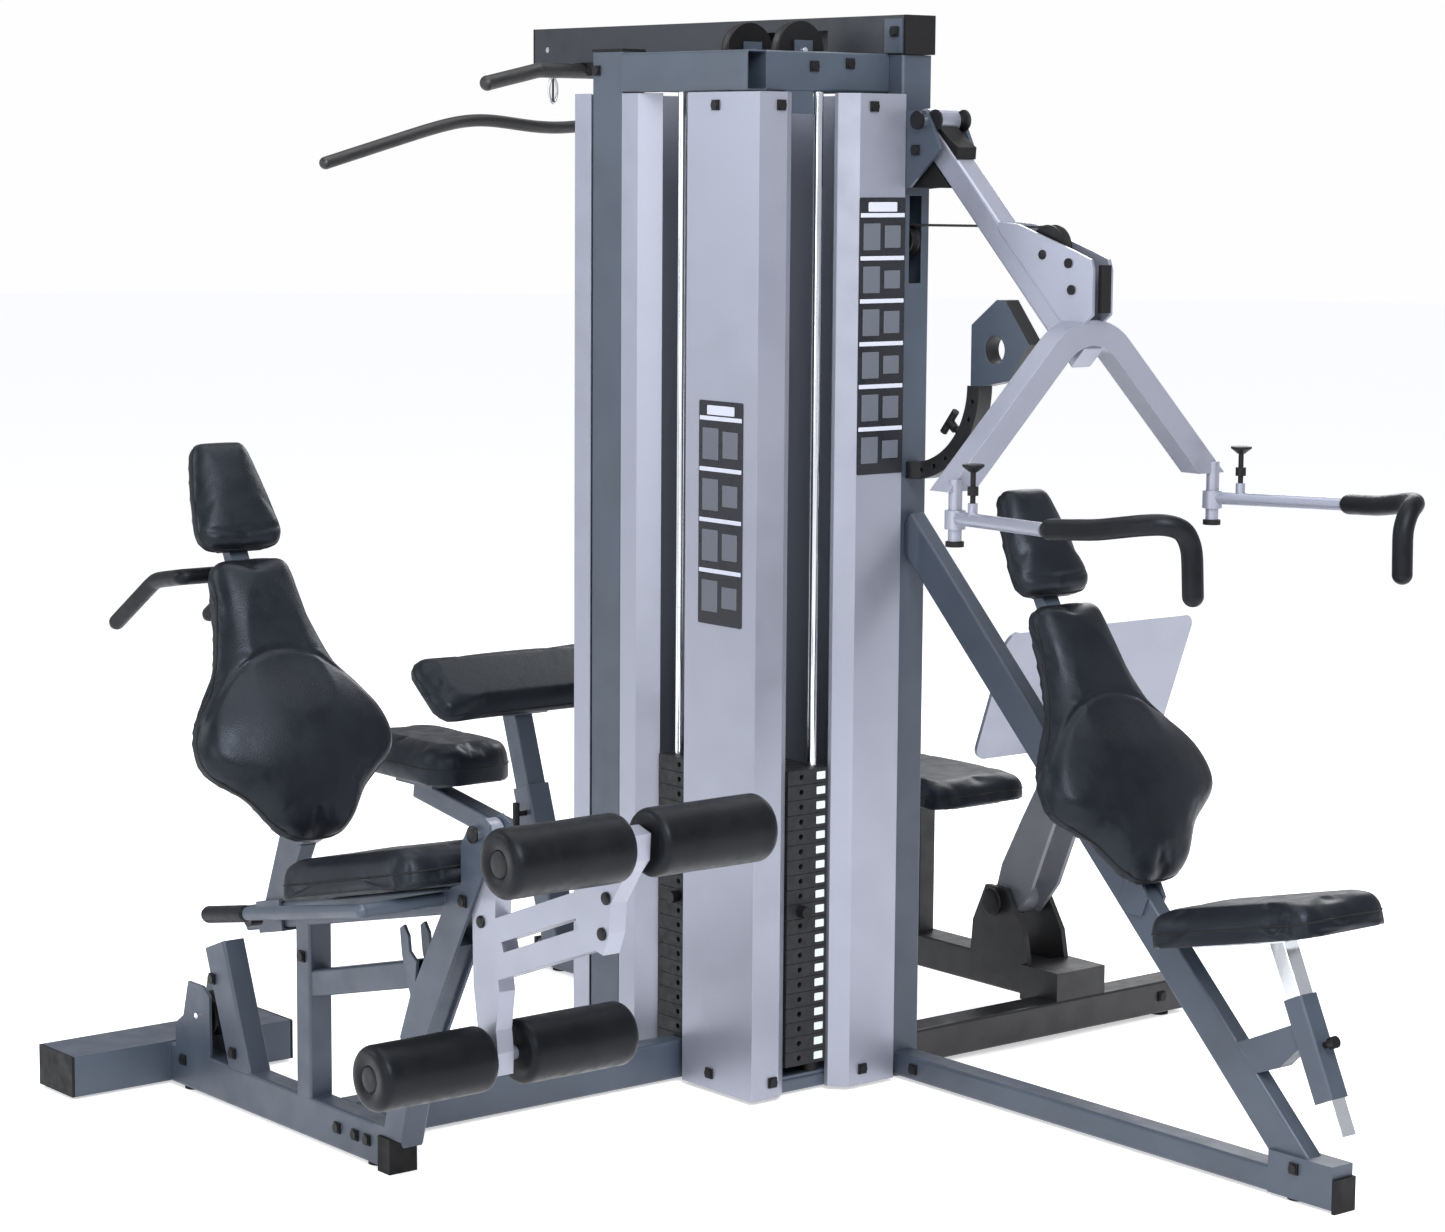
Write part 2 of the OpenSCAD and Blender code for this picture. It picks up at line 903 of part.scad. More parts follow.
// Half outline of a back pad from the bottom up: distance along the pad, half width.
function back_half() = [
    [0, 40], [12, 66], [32, 88], [60, 106], [92, 126], [116, 160], [138, 192], [160, 208],
    [185, 212], [215, 208], [255, 193], [300, 162], [345, 128], [430, 104], [530, 88],
    [552, 80], [560, 66]
];
function head_half() = [
    [578, 66], [588, 82], [612, 94], [700, 80], [770, 64], [790, 56], [798, 44]
];
function full_outline(half) = concat(
    [for (p = half) [p[1], p[0]]],
    [for (i = [len(half) - 1 : -1 : 0]) [-half[i][1], half[i][0]]]
);

// Head and back cushions, upright, with the front face on the plane X = 0.
module back_cushions(t = pad_t) {
    translate([-t, 0, 0])
        rotate([90, 0, 90])
            linear_extrude(t)
                polygon(full_outline(back_half()));
    translate([-t, 0, 0])
        rotate([90, 0, 90])
            linear_extrude(t)
                polygon(full_outline(head_half()));
}

// The press back pad stands on its lower front edge and leans back.
module place_press_back() {
    translate([press_back_at[0], press_y, press_back_at[1]])
        rotate([0, -press_lean, 0])
            children();
}

module press_back_bracket() {
    color(steel_blue)
        difference() {
            place_press_back() {
                block([-pad_t - 25, -20, 80], [-pad_t - 0.5, 20, 700]);
                block([-pad_t - 21, -33, 90], [-pad_t - 1, 33, 130]);
                // Ears outside the frame's hinge plates.
                for (s = [-1, 1])
                    block([-pad_t - 21, s * 29.5 - 3, 18], [-pad_t - 1, s * 29.5 + 3, 100]);
            }
            rod_y(hinge_x(), press_y - 60, press_y + 60, hinge_z(), 9);
        }
    color(chrome)
        rod_y(hinge_x(), press_y - 35, press_y + 35, hinge_z(), 10);
}

module press_back_pads() {
    color(vinyl)
        place_press_back()
            back_cushions();
}

// Curved guide and notch plate that set where the press arm starts.
module range_guide() {
    color(cast) {
        translate([guide_at[0], press_y, guide_at[1]])
            rotate([90, 0, 0])
                difference() {
                    rotate([0, 0, -89.5])
                        rotate_extrude(angle = 89.5)
                            translate([175, 0])
                                square([34, 34], center = true);
                    for (a = [-80, -68, -56, -22, -10])
                        rotate([0, 0, a])
                            translate([175, 0, -30])
                                cylinder(d = 10, h = 60);
                    rotate([0, 0, -knob_angle])
                        translate([150, 0, 0])
                            rotate([0, 90, 0])
                                cylinder(d = 10.4, h = 40);
                }
        block([tower_right + gap, press_y - 17, 1208.5], [303, press_y + 17, 1241.5]);
    }
    color(steel_blue)
        difference() {
            plate_xz(press_y - 17, press_y + 17, [
                [469, 1400.5], [469, 1517], [538, 1567], [560, 1567], [628, 1486],
                [575, 1415], [500, 1400.5]
            ]);
            rod_y(535, press_y - 60, press_y + 60, 1472, 54);
        }
}

// T-handled pull pin of the range guide.
module range_knob() {
    color(black)
        translate([guide_at[0], press_y, guide_at[1]])
            rotate([0, knob_angle, 0]) {
                rod_x(124, 170, 0, 0, 10);
                rod_x(116, 140, 0, 0, 18);
                translate([118, 0, -27])
                    cylinder(d = 15, h = 54);
            }
}

// ---------------------------------------------------------------- leg station

// Members of the leg station's frame; t is 0 for the outsides, the wall for the insides.
module leg_tubes(t) {
    e = t > 0 ? 1 : 0;
    translate([-558 - e, leg_y, 45])
        rotate([0, 90, 0])
            bar_z(78 - 2 * t, small_tube - 2 * t, 758 + 2 * e, t);
    translate([-58, leg_y, 80])
        bar_z(small_tube - 2 * t, small_tube - 2 * t, 352, t);
    along_xz([-288, 70], [-381, 312 + e], leg_y)
        bar_z(76 - 2 * t, slim_tube - 2 * t, 260 + e, t);
    along_xz(rail_a - [e, 0], rail_b, leg_y)
        bar_z(48 - 2 * t, slim_tube - 2 * t, norm(rail_b - rail_a) + 2 * e, t);
    along_xz([-40, 300], [310, 385], leg_y)
        bar_z(small_tube - 2 * t, 42 - 2 * t, 360, t);
    along_xz([238, 60], [288, 235], leg_y)
        bar_z(64 - 2 * t, small_tube - 2 * t, 182, t);
}

// Base, posts, seat rail, forked front support and foot brace, welded together.
module leg_frame() {
    color(steel_blue) {
        difference() {
            union() {
                difference() {
                    leg_tubes(0);
                    leg_tubes(wall);
                }
                block([180, leg_y - 25, 66.5], [262, leg_y + 25, 84]);
                tube_y(leg_y + 23, -201, 19, 45, small_tube, 78);
                block([-6, -202, 6], [44, base_front - gap, 33]);
                // Front support: two cheeks with a web below the lever.
                for (s = [-1, 1])
                    translate([0, s * 22, 0])
                        plate_xz(leg_y - 3, leg_y + 3, [
                            [268, 262], [300, 222], [332, 244], [552, 648], [546, 690],
                            [520, 703], [494, 690], [462, 645], [462, 574], [433, 564],
                            [318, 372], [322, 410], [300, 425],
                            [296, 452], [282, 470], [270, 462], [276, 415], [302, 345]
                        ]);
                along_xz([292, 235], [418, 470], leg_y)
                    bar_z(50, 40, 266);
                // Pulley cheeks.
                for (s = [-1, 1])
                    translate([0, s * 22, 0])
                        plate_xz(leg_y - 3, leg_y + 3, [
                            [-530, 79], [-400, 79], [-400, 205], [-425, 222],
                            [-480, 222], [-500, 150], [-530, 130]
                        ]);
                // Side handles: one bar across and two along the seat.
                rod_y(400, leg_y - handle_rod_y, leg_y + handle_rod_y, 537, 25);
                for (s = [-1, 1]) {
                    translate([400, leg_y + s * handle_rod_y, 537])
                        sphere(d = 26);
                    bar([400, leg_y + s * handle_rod_y, 537],
                        [-120, leg_y + s * handle_rod_y, 440], 25, false);
                }
            }
            rod_y(knee_x, leg_y - 60, leg_y + 60, knee_z, 20.2);
            rod_y(-443, leg_y - 60, leg_y + 60, 160, 12.2);
            block([200.5, leg_y - 40, -10], [270, leg_y + 40, 66.5]);
        }
        // Foot brace for the low pulley.
        difference() {
            block([-690, -1240, 6], [-556, -750, 86]);
            block([-686, -1241, 10], [-561, -749, 82]);
        }
    }
}

module place_leg_seat() {
    translate([242, leg_y, 528])
        rotate([0, -rail_lean, 0])
            children();
}

module leg_seat() {
    color(vinyl)
        place_leg_seat()
            cushion(440, 285, 72);
}

// The leg back pad stands on its lower front edge and leans back.
module place_leg_back() {
    translate([leg_back_at[0], leg_y, leg_back_at[1]])
        rotate([0, -leg_lean, 0])
            children();
}

// The seat rail's slide, its length along Z.
module place_slide() {
    translate([slide_at[0], leg_y, slide_at[1]])
        rotate([0, 90 - rail_lean, 0])
            children();
}

// Spine, sliding sleeve and rear hand bar of the leg back pad.
module leg_back_bracket() {
    hand = [-343, 1039];
    color(steel_blue) {
        difference() {
            union() {
                place_leg_back()
                    block([-pad_t - 25, -20, 4], [-pad_t - 0.5, 20, 700]);
                place_slide()
                    translate([0, 0, -42])
                        linear_extrude(84)
                            square([60, 62], center = true);
                plate_xz(leg_y - 16, leg_y + 16, [
                    [-205, 422], [-137, 437], [-72, 556], [-120, 650], [-150, 560]
                ]);
            }
            place_slide()
                translate([0, 0, -60])
                    linear_extrude(120)
                        square([50, 52], center = true);
        }
        rod_y(hand[0], leg_y - 104, leg_y + 104, hand[1], 22);
        for (s = [-1, 1]) {
            translate([hand[0], leg_y + s * 104, hand[1]])
                sphere(d = 23);
            bar([hand[0], leg_y + s * 104, hand[1]], [-445, leg_y + s * 104, 1023], 22);
            bar([-445, leg_y + s * 104, 1023], [-605, leg_y + s * 104, 922], 22);
        }
    }
}

module leg_back_pads() {
    color(vinyl)
        place_leg_back()
            back_cushions();
}

// Pull pin on the side of the sliding sleeve.
module leg_back_knob() {
    color(black) {
        rod_y(slide_at[0], leg_y - 60, leg_y - 31.5, slide_at[1], 12);
        rod_y(slide_at[0], leg_y - 78, leg_y - 52, slide_at[1], 28);
    }
}

// Side view of the leg lever: boss, drop bar, slotted arm and the upper axle's bracket.
module lever_outline() {
    arm_at = [505, 455];
    arm_tilt = 20.4;
    translate([knee_x, knee_z])
        circle(d = 50);
    polygon([
        [492, 664], [528, 664], [556, 636], [552, 470], [566, 400], [556, 330], [562, 290],
        [560, 250], [520, 244], [505, 300], [488, 400], [484, 560]
    ]);
    difference() {
        translate(arm_at)
            rotate(arm_tilt)
                translate([0, -52])
                    square([368, 104]);
        translate(arm_at)
            rotate(arm_tilt)
                translate([75, -9])
                    square([229, 18]);
    }
    polygon([
        [822, 528], [864, 520], [880, 560], [884, 610], [925, 668], [945, 690], [948, 735],
        [915, 745], [885, 738], [868, 690], [838, 650], [812, 625]
    ]);
}

// Silver lever with the roller axles.
module leg_lever() {
    w = 17;
    color(pearl)
        difference() {
            translate([0, leg_y + w, 0])
                rotate([90, 0, 0])
                    linear_extrude(2 * w)
                        lever_outline();
            rod_y(knee_x, leg_y - 60, leg_y + 60, knee_z, 20 + 2 * run_gap);
        }
    color(chrome)
        for (p = [upper_axle, lower_axle])
            for (s = [-1, 1])
                rod_y(p[0], s > 0 ? leg_y + 5 : leg_y - 268,
                      s > 0 ? leg_y + 268 : leg_y - 5, p[1], 25);
}

// Pair of foam rollers on one axle line.
module roller_pair(axle, inner) {
    color(foam)
        for (s = [-1, 1])
            difference() {
                rod_y(axle[0], s > 0 ? leg_y + inner : leg_y - 270,
                      s > 0 ? leg_y + 270 : leg_y - inner, axle[1], roller_d);
                rod_y(axle[0], s > 0 ? leg_y : leg_y - 268.5,
                      s > 0 ? leg_y + 268.5 : leg_y, axle[1], 25.16);
            }
}

module upper_rollers() {
    roller_pair(upper_axle, 27);
}

module lower_rollers() {
    roller_pair(lower_axle, 34);
}

// ---------------------------------------------------------------- lat station

function curl_at(s) = [curl_foot[0] - s * sin(curl_lean), curl_foot[1] + s * cos(curl_lean)];

// Base tube, leaning sleeve and seat arm, welded together.
module lat_frame() {
    color(steel_blue)
        difference() {
            union() {
                tube_x(-930.5, tower_left - gap, press_y, 38, 60, 60);
                tube_xz(curl_at(-10), curl_at(355), press_y, 62, 62);
                tube_xz([-945, 262], [-1440, 340], press_y, small_tube, small_tube);
                block([-1465, press_y - 60, 358], [-1310, press_y + 60, 380]);
            }
            along_xz(curl_at(0), curl_at(400), press_y)
                translate([0, 0, 10])
                    linear_extrude(500)
                        rounded_rect(51, 51, 3);
            block([-1500, 0, -10], [0, 400, 6]);
            rod_y(-975, press_y - 60, press_y - 20, 350, 12.4);
        }
}

module lat_seat() {
    color(vinyl)
        translate([-1385, press_y, 380.5])
            cushion(380, 240, 94, 80);
}

module place_curl_pad() {
    translate([-1076, press_y, 624])
        rotate([0, 38, 0])
            children();
}

// Post that slides in the leaning sleeve, with the pad's plate.
module curl_post() {
    color(steel_blue) {
        difference() {
            along_xz(curl_at(100), curl_at(600), press_y)
                linear_extrude(500)
                    rounded_rect(50, 50, 3);
            place_curl_pad()
                block([-150, -60, -4], [150, 60, 120]);
            rod_y(-975, press_y - 60, press_y - 10, 350, 12.4);
        }
        place_curl_pad()
            block([-80, -60, -8], [80, 60, -0.5]);
    }
}

// Arm curl pad, sloping down towards the tower.
module curl_pad() {
    color(vinyl)
        place_curl_pad()
            linear_extrude(48)
                rounded_rect(186, 500, 40);
}

module curl_knob() {
    color(black) {
        rod_y(-975, press_y - 58, press_y - 31.5, 350, 11.6);
        translate([-975, press_y - 58, 324])
            cylinder(d = 16, h = 52);
    }
}

// Lat bar with raised shoulders, drooping ends and its centre eye.
module lat_bar() {
    d = 27;
    color(cast) {
        rod_y(lat_x, press_y - 54, press_y + 54, lat_z, d);
        for (s = [-1, 1]) {
            translate([lat_x, press_y + s * 54, lat_z])
                sphere(d = d + 1);
            bar([lat_x, press_y + s * 54, lat_z], [lat_x, press_y + s * 206, lat_z + 31], d);
            bar([lat_x, press_y + s * 206, lat_z + 31], [lat_x, press_y + s * lat_half, lat_z - 80], d);
        }
    }
    color(chrome) {
        translate([lat_x, press_y, lat_z + 5])
            cylinder(d = 10, h = 21);
        translate([lat_x, press_y, lat_z + 44])
            rotate([0, 90, 0])
                rotate_extrude()
                    translate([18, 0])
                        circle(d = 8);
    }
}

// Pull-up bar bolted under the pulley beam, with drooping ends.
module chin_bar() {
    x = -760;
    z = 2014;
    color("#4a525b") {
        block([x - 30, press_y - 30, z - 10], [x + 30, press_y + 30, upright_top]);
        rod_y(x, press_y - 150, press_y + 150, z, 32);
        for (s = [-1, 1]) {
            translate([x, press_y + s * 150, z])
                sphere(d = 33);
            bar([x, press_y + s * 150, z], [x, press_y + s * 285, z - 30], 32);
        }
    }
}

// ---------------------------------------------------------------- leg press

// Cross tube, rail, pivot cheeks and seat posts, welded together.
module leg_press_frame() {
    color(cast)
        difference() {
            union() {
                tube_y(back_y1 + gap, 1010, 230, 46, 70, 70);
                tube_x(-960, 232, lp_y, 100, 76, 70);
                tube_y(lp_y - 220, lp_y + 220, -925, 40, 70, 66);
                block([150, lp_y - 70, 66], [262, lp_y + 70, 140]);
                for (s = [-1, 1])
                    translate([0, s * 54, 0])
                        plate_xz(lp_y - 6, lp_y + 6, [
                            [-20, 100], [170, 100], [150, 200], [92, 292], [28, 292], [-10, 210]
                        ]);
                tube_xz([-250, 120], [-250, 444], lp_y, small_tube, small_tube);
                tube_xz([-560, 120], [-850, 960], lp_y, small_tube, small_tube);
                block([-430, lp_y - 70, 440], [-70, lp_y + 70, 446]);
            }
            rod_y(60, lp_y - 90, lp_y + 90, 260, 20.2);
            block([-1100, 200, -20], [400, 1100, 6]);
        }
}

module leg_press_pads() {
    color(vinyl) {
        translate([-255, lp_y, 446.5])
            cushion(430, 290, 56);
        translate([-572, lp_y, 540])
            rotate([0, -19, 0])
                rotate([90, 0, 90])
                    translate([0, 300, 0])
                        linear_extrude(58)
                            rounded_rect(300, 560, 60);
    }
}

// Swinging arm that carries the footplate.
module leg_press_arm() {
    color("#8d93a0")
        difference() {
            union() {
                rod_y(60, lp_y - 46, lp_y + 46, 260, 70);
                for (s = [-1, 1])
                    translate([0, s * 38, 0])
                        plate_xz(lp_y - 5, lp_y + 5, [
                            [30, 238], [95, 232], [150, 300], [200, 420], [262, 560],
                            [300, 700], [318, 780], [296, 790], [240, 660], [190, 570],
                            [120, 450], [60, 340]
                        ]);
                rod_y(215, lp_y - 40, lp_y + 40, 520, 36);
            }
            rod_y(60, lp_y - 90, lp_y + 90, 260, 20 + 2 * run_gap);
        }
}

// Footplate, top leaning away from the user.
module footplate() {
    color(pearl)
        translate([236, lp_y, 640])
            rotate([0, 20, 0])
                translate([-22, 0, -20])
                    rotate([90, 0, 90])
                        linear_extrude(8)
                            translate([0, 125])
                                rounded_rect(foot_w, 290, 30);
}

// ---------------------------------------------------------------- output

tower_base();
left_upright();
right_upright();
top_frame();
pulley_beam();
corner_column();
left_covers();
right_covers();
guide_rods();
tube_caps();
bolt_caps();
rubber_stops();
rest_plates();
left_lifted_stack();
left_pin();
right_lifted_stack();
right_pin();
left_stack_pulley();
right_stack_pulley();
lat_pulley();
slot_pulley();
arm_pulley();
low_pulley();
pivot_bracket();
pivot_axles();
press_arm();
arm_bumpers();
left_handle();
left_grip();
right_handle();
right_grip();
left_pop_pin();
right_pop_pin();
press_frame();
press_seat_post();
press_seat();
press_seat_pin();
press_back_bracket();
press_back_pads();
range_guide();
range_knob();
leg_frame();
leg_seat();
leg_back_bracket();
leg_back_pads();
leg_back_knob();
leg_lever();
upper_rollers();
lower_rollers();
lat_frame();
lat_seat();
curl_post();
curl_pad();
curl_knob();
lat_bar();
chin_bar();
leg_press_frame();
leg_press_pads();
leg_press_arm();
footplate();
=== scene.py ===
"""Looks for the multi station home gym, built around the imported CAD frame.

Metres, +Z up, in the CAD's own frame: +X towards the press station, -Y towards the leg
station, -X towards the lat station. Places are worked out from the CAD nodes' boxes.
"""

import json
import math

import bmesh
import bpy
import numpy as np
from mathutils import Matrix, Vector, noise
from mathutils.bvhtree import BVHTree


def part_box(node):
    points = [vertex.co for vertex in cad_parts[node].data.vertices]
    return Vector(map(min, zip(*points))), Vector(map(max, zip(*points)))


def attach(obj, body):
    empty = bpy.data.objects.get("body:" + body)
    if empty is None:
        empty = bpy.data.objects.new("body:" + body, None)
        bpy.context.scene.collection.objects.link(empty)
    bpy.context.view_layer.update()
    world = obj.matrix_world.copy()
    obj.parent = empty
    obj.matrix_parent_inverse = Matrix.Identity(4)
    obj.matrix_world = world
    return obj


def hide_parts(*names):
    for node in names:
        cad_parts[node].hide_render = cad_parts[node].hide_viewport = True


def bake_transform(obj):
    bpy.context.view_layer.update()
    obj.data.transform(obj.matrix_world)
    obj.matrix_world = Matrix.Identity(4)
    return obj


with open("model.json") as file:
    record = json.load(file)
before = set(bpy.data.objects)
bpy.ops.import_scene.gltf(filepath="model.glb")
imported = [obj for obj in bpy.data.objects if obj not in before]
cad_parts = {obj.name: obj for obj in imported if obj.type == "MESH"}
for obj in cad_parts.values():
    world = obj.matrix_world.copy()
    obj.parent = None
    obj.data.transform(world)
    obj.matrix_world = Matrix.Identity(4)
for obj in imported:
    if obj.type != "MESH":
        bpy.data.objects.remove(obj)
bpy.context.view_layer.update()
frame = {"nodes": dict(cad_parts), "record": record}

# Middle planes of the stations.
PRESS_Y = 0.170
LEG_Y = -1.005
LEG_PRESS_Y = 0.690

# ------------------------------------------------------------------ materials


class Surface:
    """One procedural material, with short calls for the nodes it is made of."""

    def __init__(self, name, colour, roughness, metallic=0.0):
        self.material = bpy.data.materials.new(name)
        self.material.use_nodes = True
        self.nodes = self.material.node_tree.nodes
        self.links = self.material.node_tree.links
        self.shader = self.nodes["Principled BSDF"]
        self.place = self.nodes.new("ShaderNodeTexCoord").outputs["Object"]
        self.colour = colour
        self.set("Base Color", (*colour, 1))
        self.set("Roughness", roughness)
        self.set("Metallic", metallic)
        self.normal = None

    def set(self, socket, value):
        self.shader.inputs[socket].default_value = value

    def stretched(self, scale):
        """Texture places scaled by a different amount along each axis."""
        node = self.nodes.new("ShaderNodeMapping")
        node.inputs["Scale"].default_value = scale
        self.links.new(self.place, node.inputs["Vector"])
        return node.outputs["Vector"]

    def noise(self, scale, detail=3.0, place=None):
        node = self.nodes.new("ShaderNodeTexNoise")
        node.inputs["Scale"].default_value = scale
        node.inputs["Detail"].default_value = detail
        self.links.new(place or self.place, node.inputs["Vector"])
        return node.outputs["Fac"]

    def cells(self, scale, feature="F1", place=None):
        node = self.nodes.new("ShaderNodeTexVoronoi")
        node.feature = feature
        node.inputs["Scale"].default_value = scale
        self.links.new(place or self.place, node.inputs["Vector"])
        return node.outputs["Distance"]

    def spread(self, value, low, high, start=0.35, end=0.65):
        """Value from start to end mapped to low to high."""
        node = self.nodes.new("ShaderNodeMapRange")
        for name, amount in (("From Min", start), ("From Max", end), ("To Min", low), ("To Max", high)):
            node.inputs[name].default_value = amount
        self.links.new(value, node.inputs["Value"])
        return node.outputs["Result"]

    def vary_roughness(self, value, low, high):
        self.links.new(self.spread(value, low, high), self.shader.inputs["Roughness"])

    def blend(self, factor, below, above):
        """Colour that runs from below to above as factor runs from 0 to 1."""
        node = self.nodes.new("ShaderNodeMix")
        node.data_type = "RGBA"
        self.links.new(factor, node.inputs["Factor"])
        for socket, value in ((node.inputs[6], below), (node.inputs[7], above)):
            if isinstance(value, bpy.types.NodeSocket):
                self.links.new(value, socket)
            else:
                socket.default_value = (*value, 1)
        self.links.new(node.outputs[2], self.shader.inputs["Base Color"])
        return node.outputs[2]

    def shade(self, share):
        """The material's colour, lighter or darker."""
        return tuple(min(1.0, c * share) for c in self.colour)

    def round_edges(self, radius):
        """Rounded edges for the normal, and a mask that is 1 along them."""
        bevel = self.nodes.new("ShaderNodeBevel")
        bevel.samples = 4
        bevel.inputs["Radius"].default_value = radius
        self.normal = bevel.outputs["Normal"]
        flat = self.nodes.new("ShaderNodeNewGeometry").outputs["Normal"]
        dot = self.nodes.new("ShaderNodeVectorMath")
        dot.operation = "DOT_PRODUCT"
        self.links.new(self.normal, dot.inputs[0])
        self.links.new(flat, dot.inputs[1])
        return self.spread(dot.outputs["Value"], 1.0, 0.0, 0.90, 0.995)

    def bump(self, height, strength, distance):
        node = self.nodes.new("ShaderNodeBump")
        node.inputs["Strength"].default_value = strength
        node.inputs["Distance"].default_value = distance
        self.links.new(height, node.inputs["Height"])
        if self.normal is not None:
            self.links.new(self.normal, node.inputs["Normal"])
        self.normal = node.outputs["Normal"]
        self.links.new(self.normal, self.shader.inputs["Normal"])


def powder_coat(name, colour, roughness=0.42, metallic=0.0):
    """Powder-coated steel: orange peel, faint cloudiness and a painted highlight along the edges."""
    s = Surface(name, colour, roughness, metallic)
    edge = s.round_edges(0.0016)
    cloudy = s.blend(s.spread(s.noise(5.0, 4.0), 0.0, 1.0), s.shade(0.88), s.shade(1.12))
    # Painted highlight: the colour turns lighter along the rounded edges.
    s.blend(s.spread(edge, 0.0, 0.45, 0.0, 1.0), cloudy, s.shade(1.5))
    s.vary_roughness(s.noise(22.0, 5.0), roughness - 0.06, roughness + 0.08)
    s.bump(s.noise(650.0, 2.0), 0.10, 0.0006)
    return s.material


def metallic_paint(name, colour):
    """Silver paint: fine flakes under a soft coat."""
    s = Surface(name, colour, 0.36, 0.55)
    edge = s.round_edges(0.0014)
    flakes = s.blend(s.spread(s.cells(2600.0), 0.0, 1.0, 0.1, 0.7), s.shade(1.10), s.shade(0.92))
    # Painted highlight: the colour turns lighter along the rounded edges.
    s.blend(s.spread(edge, 0.0, 0.35, 0.0, 1.0), flakes, s.shade(1.35))
    s.vary_roughness(s.noise(14.0, 5.0), 0.31, 0.42)
    s.set("Coat Weight", 0.25)
    s.set("Coat Roughness", 0.22)
    s.bump(s.noise(420.0, 2.0), 0.05, 0.0005)
    return s.material


def chromed(name, colour, roughness):
    """Plated or polished steel with faint smears."""
    s = Surface(name, colour, roughness, 1.0)
    s.round_edges(0.0008)
    s.blend(s.spread(s.noise(9.0, 3.0), 0.0, 1.0), s.shade(0.93), s.shade(1.03))
    s.vary_roughness(s.noise(40.0, 6.0, s.stretched((1, 1, 0.08))), roughness * 0.7, roughness * 1.5)
    s.bump(s.noise(300.0, 2.0), 0.02, 0.0003)
    return s.material


def cast_iron(name, colour):
    s = Surface(name, colour, 0.62, 0.1)
    edge = s.round_edges(0.002)
    # Painted highlight: the colour turns much lighter along the rounded edges.
    s.blend(s.spread(edge, 0.0, 0.6, 0.0, 1.0), s.shade(1.0), s.shade(2.6))
    s.vary_roughness(s.noise(60.0, 4.0), 0.52, 0.74)
    s.bump(s.noise(380.0, 6.0), 0.30, 0.0012)
    return s.material


def moulded(name, colour, roughness, grain=520.0, depth=0.12):
    """Moulded plastic or rubber with a fine spark-eroded grain."""
    s = Surface(name, colour, roughness)
    s.set("Specular IOR Level", 0.22)
    edge = s.round_edges(0.0012)
    # Painted highlight: the colour turns lighter along the rounded edges.
    s.blend(s.spread(edge, 0.0, 0.5, 0.0, 1.0), s.shade(1.0), s.shade(2.2))
    s.vary_roughness(s.noise(35.0, 4.0), roughness - 0.07, roughness + 0.10)
    s.bump(s.noise(grain, 3.0), depth, 0.0006)
    return s.material


def upholstery(name, colour):
    """Black vinyl: pebbled leather grain, soft creases and worn crowns."""
    s = Surface(name, colour, 0.42)
    s.blend(s.spread(s.noise(7.0, 5.0), 0.0, 1.0), s.shade(0.75), s.shade(1.5))
    s.vary_roughness(s.noise(26.0, 6.0), 0.33, 0.47)
    s.set("Specular IOR Level", 0.24)
    s.set("Specular Tint", (0.72, 0.84, 1.0, 1))
    s.bump(s.noise(24.0, 4.0), 0.10, 0.004)
    s.bump(s.cells(430.0, "SMOOTH_F1"), 0.30, 0.0010)
    s.bump(s.noise(1300.0, 2.0), 0.08, 0.0003)
    return s.material


def foam_rubber(name, colour):
    """Dense closed-cell foam: tiny pores, long faint wrinkles, a dull sheen."""
    s = Surface(name, colour, 0.48)
    s.blend(s.spread(s.noise(12.0, 5.0), 0.0, 1.0), s.shade(0.75), s.shade(1.35))
    s.vary_roughness(s.noise(50.0, 5.0), 0.32, 0.46)
    s.set("Specular IOR Level", 0.16)
    s.set("Specular Tint", (0.78, 0.88, 1.0, 1))
    s.bump(s.noise(16.0, 3.0, s.stretched((1, 0.2, 1))), 0.12, 0.003)
    s.bump(s.cells(900.0), 0.22, 0.0006)
    return s.material


def braided(name, colour):
    """Nylon-coated steel cable; the lay of the strands shows through."""
    s = Surface(name, colour, 0.4)
    wave = s.nodes.new("ShaderNodeTexWave")
    wave.bands_direction = "DIAGONAL"
    wave.inputs["Scale"].default_value = 160.0
    s.links.new(s.place, wave.inputs["Vector"])
    s.blend(wave.outputs["Fac"], s.shade(0.7), s.shade(1.3))
    s.bump(wave.outputs["Fac"], 0.4, 0.0006)
    return s.material


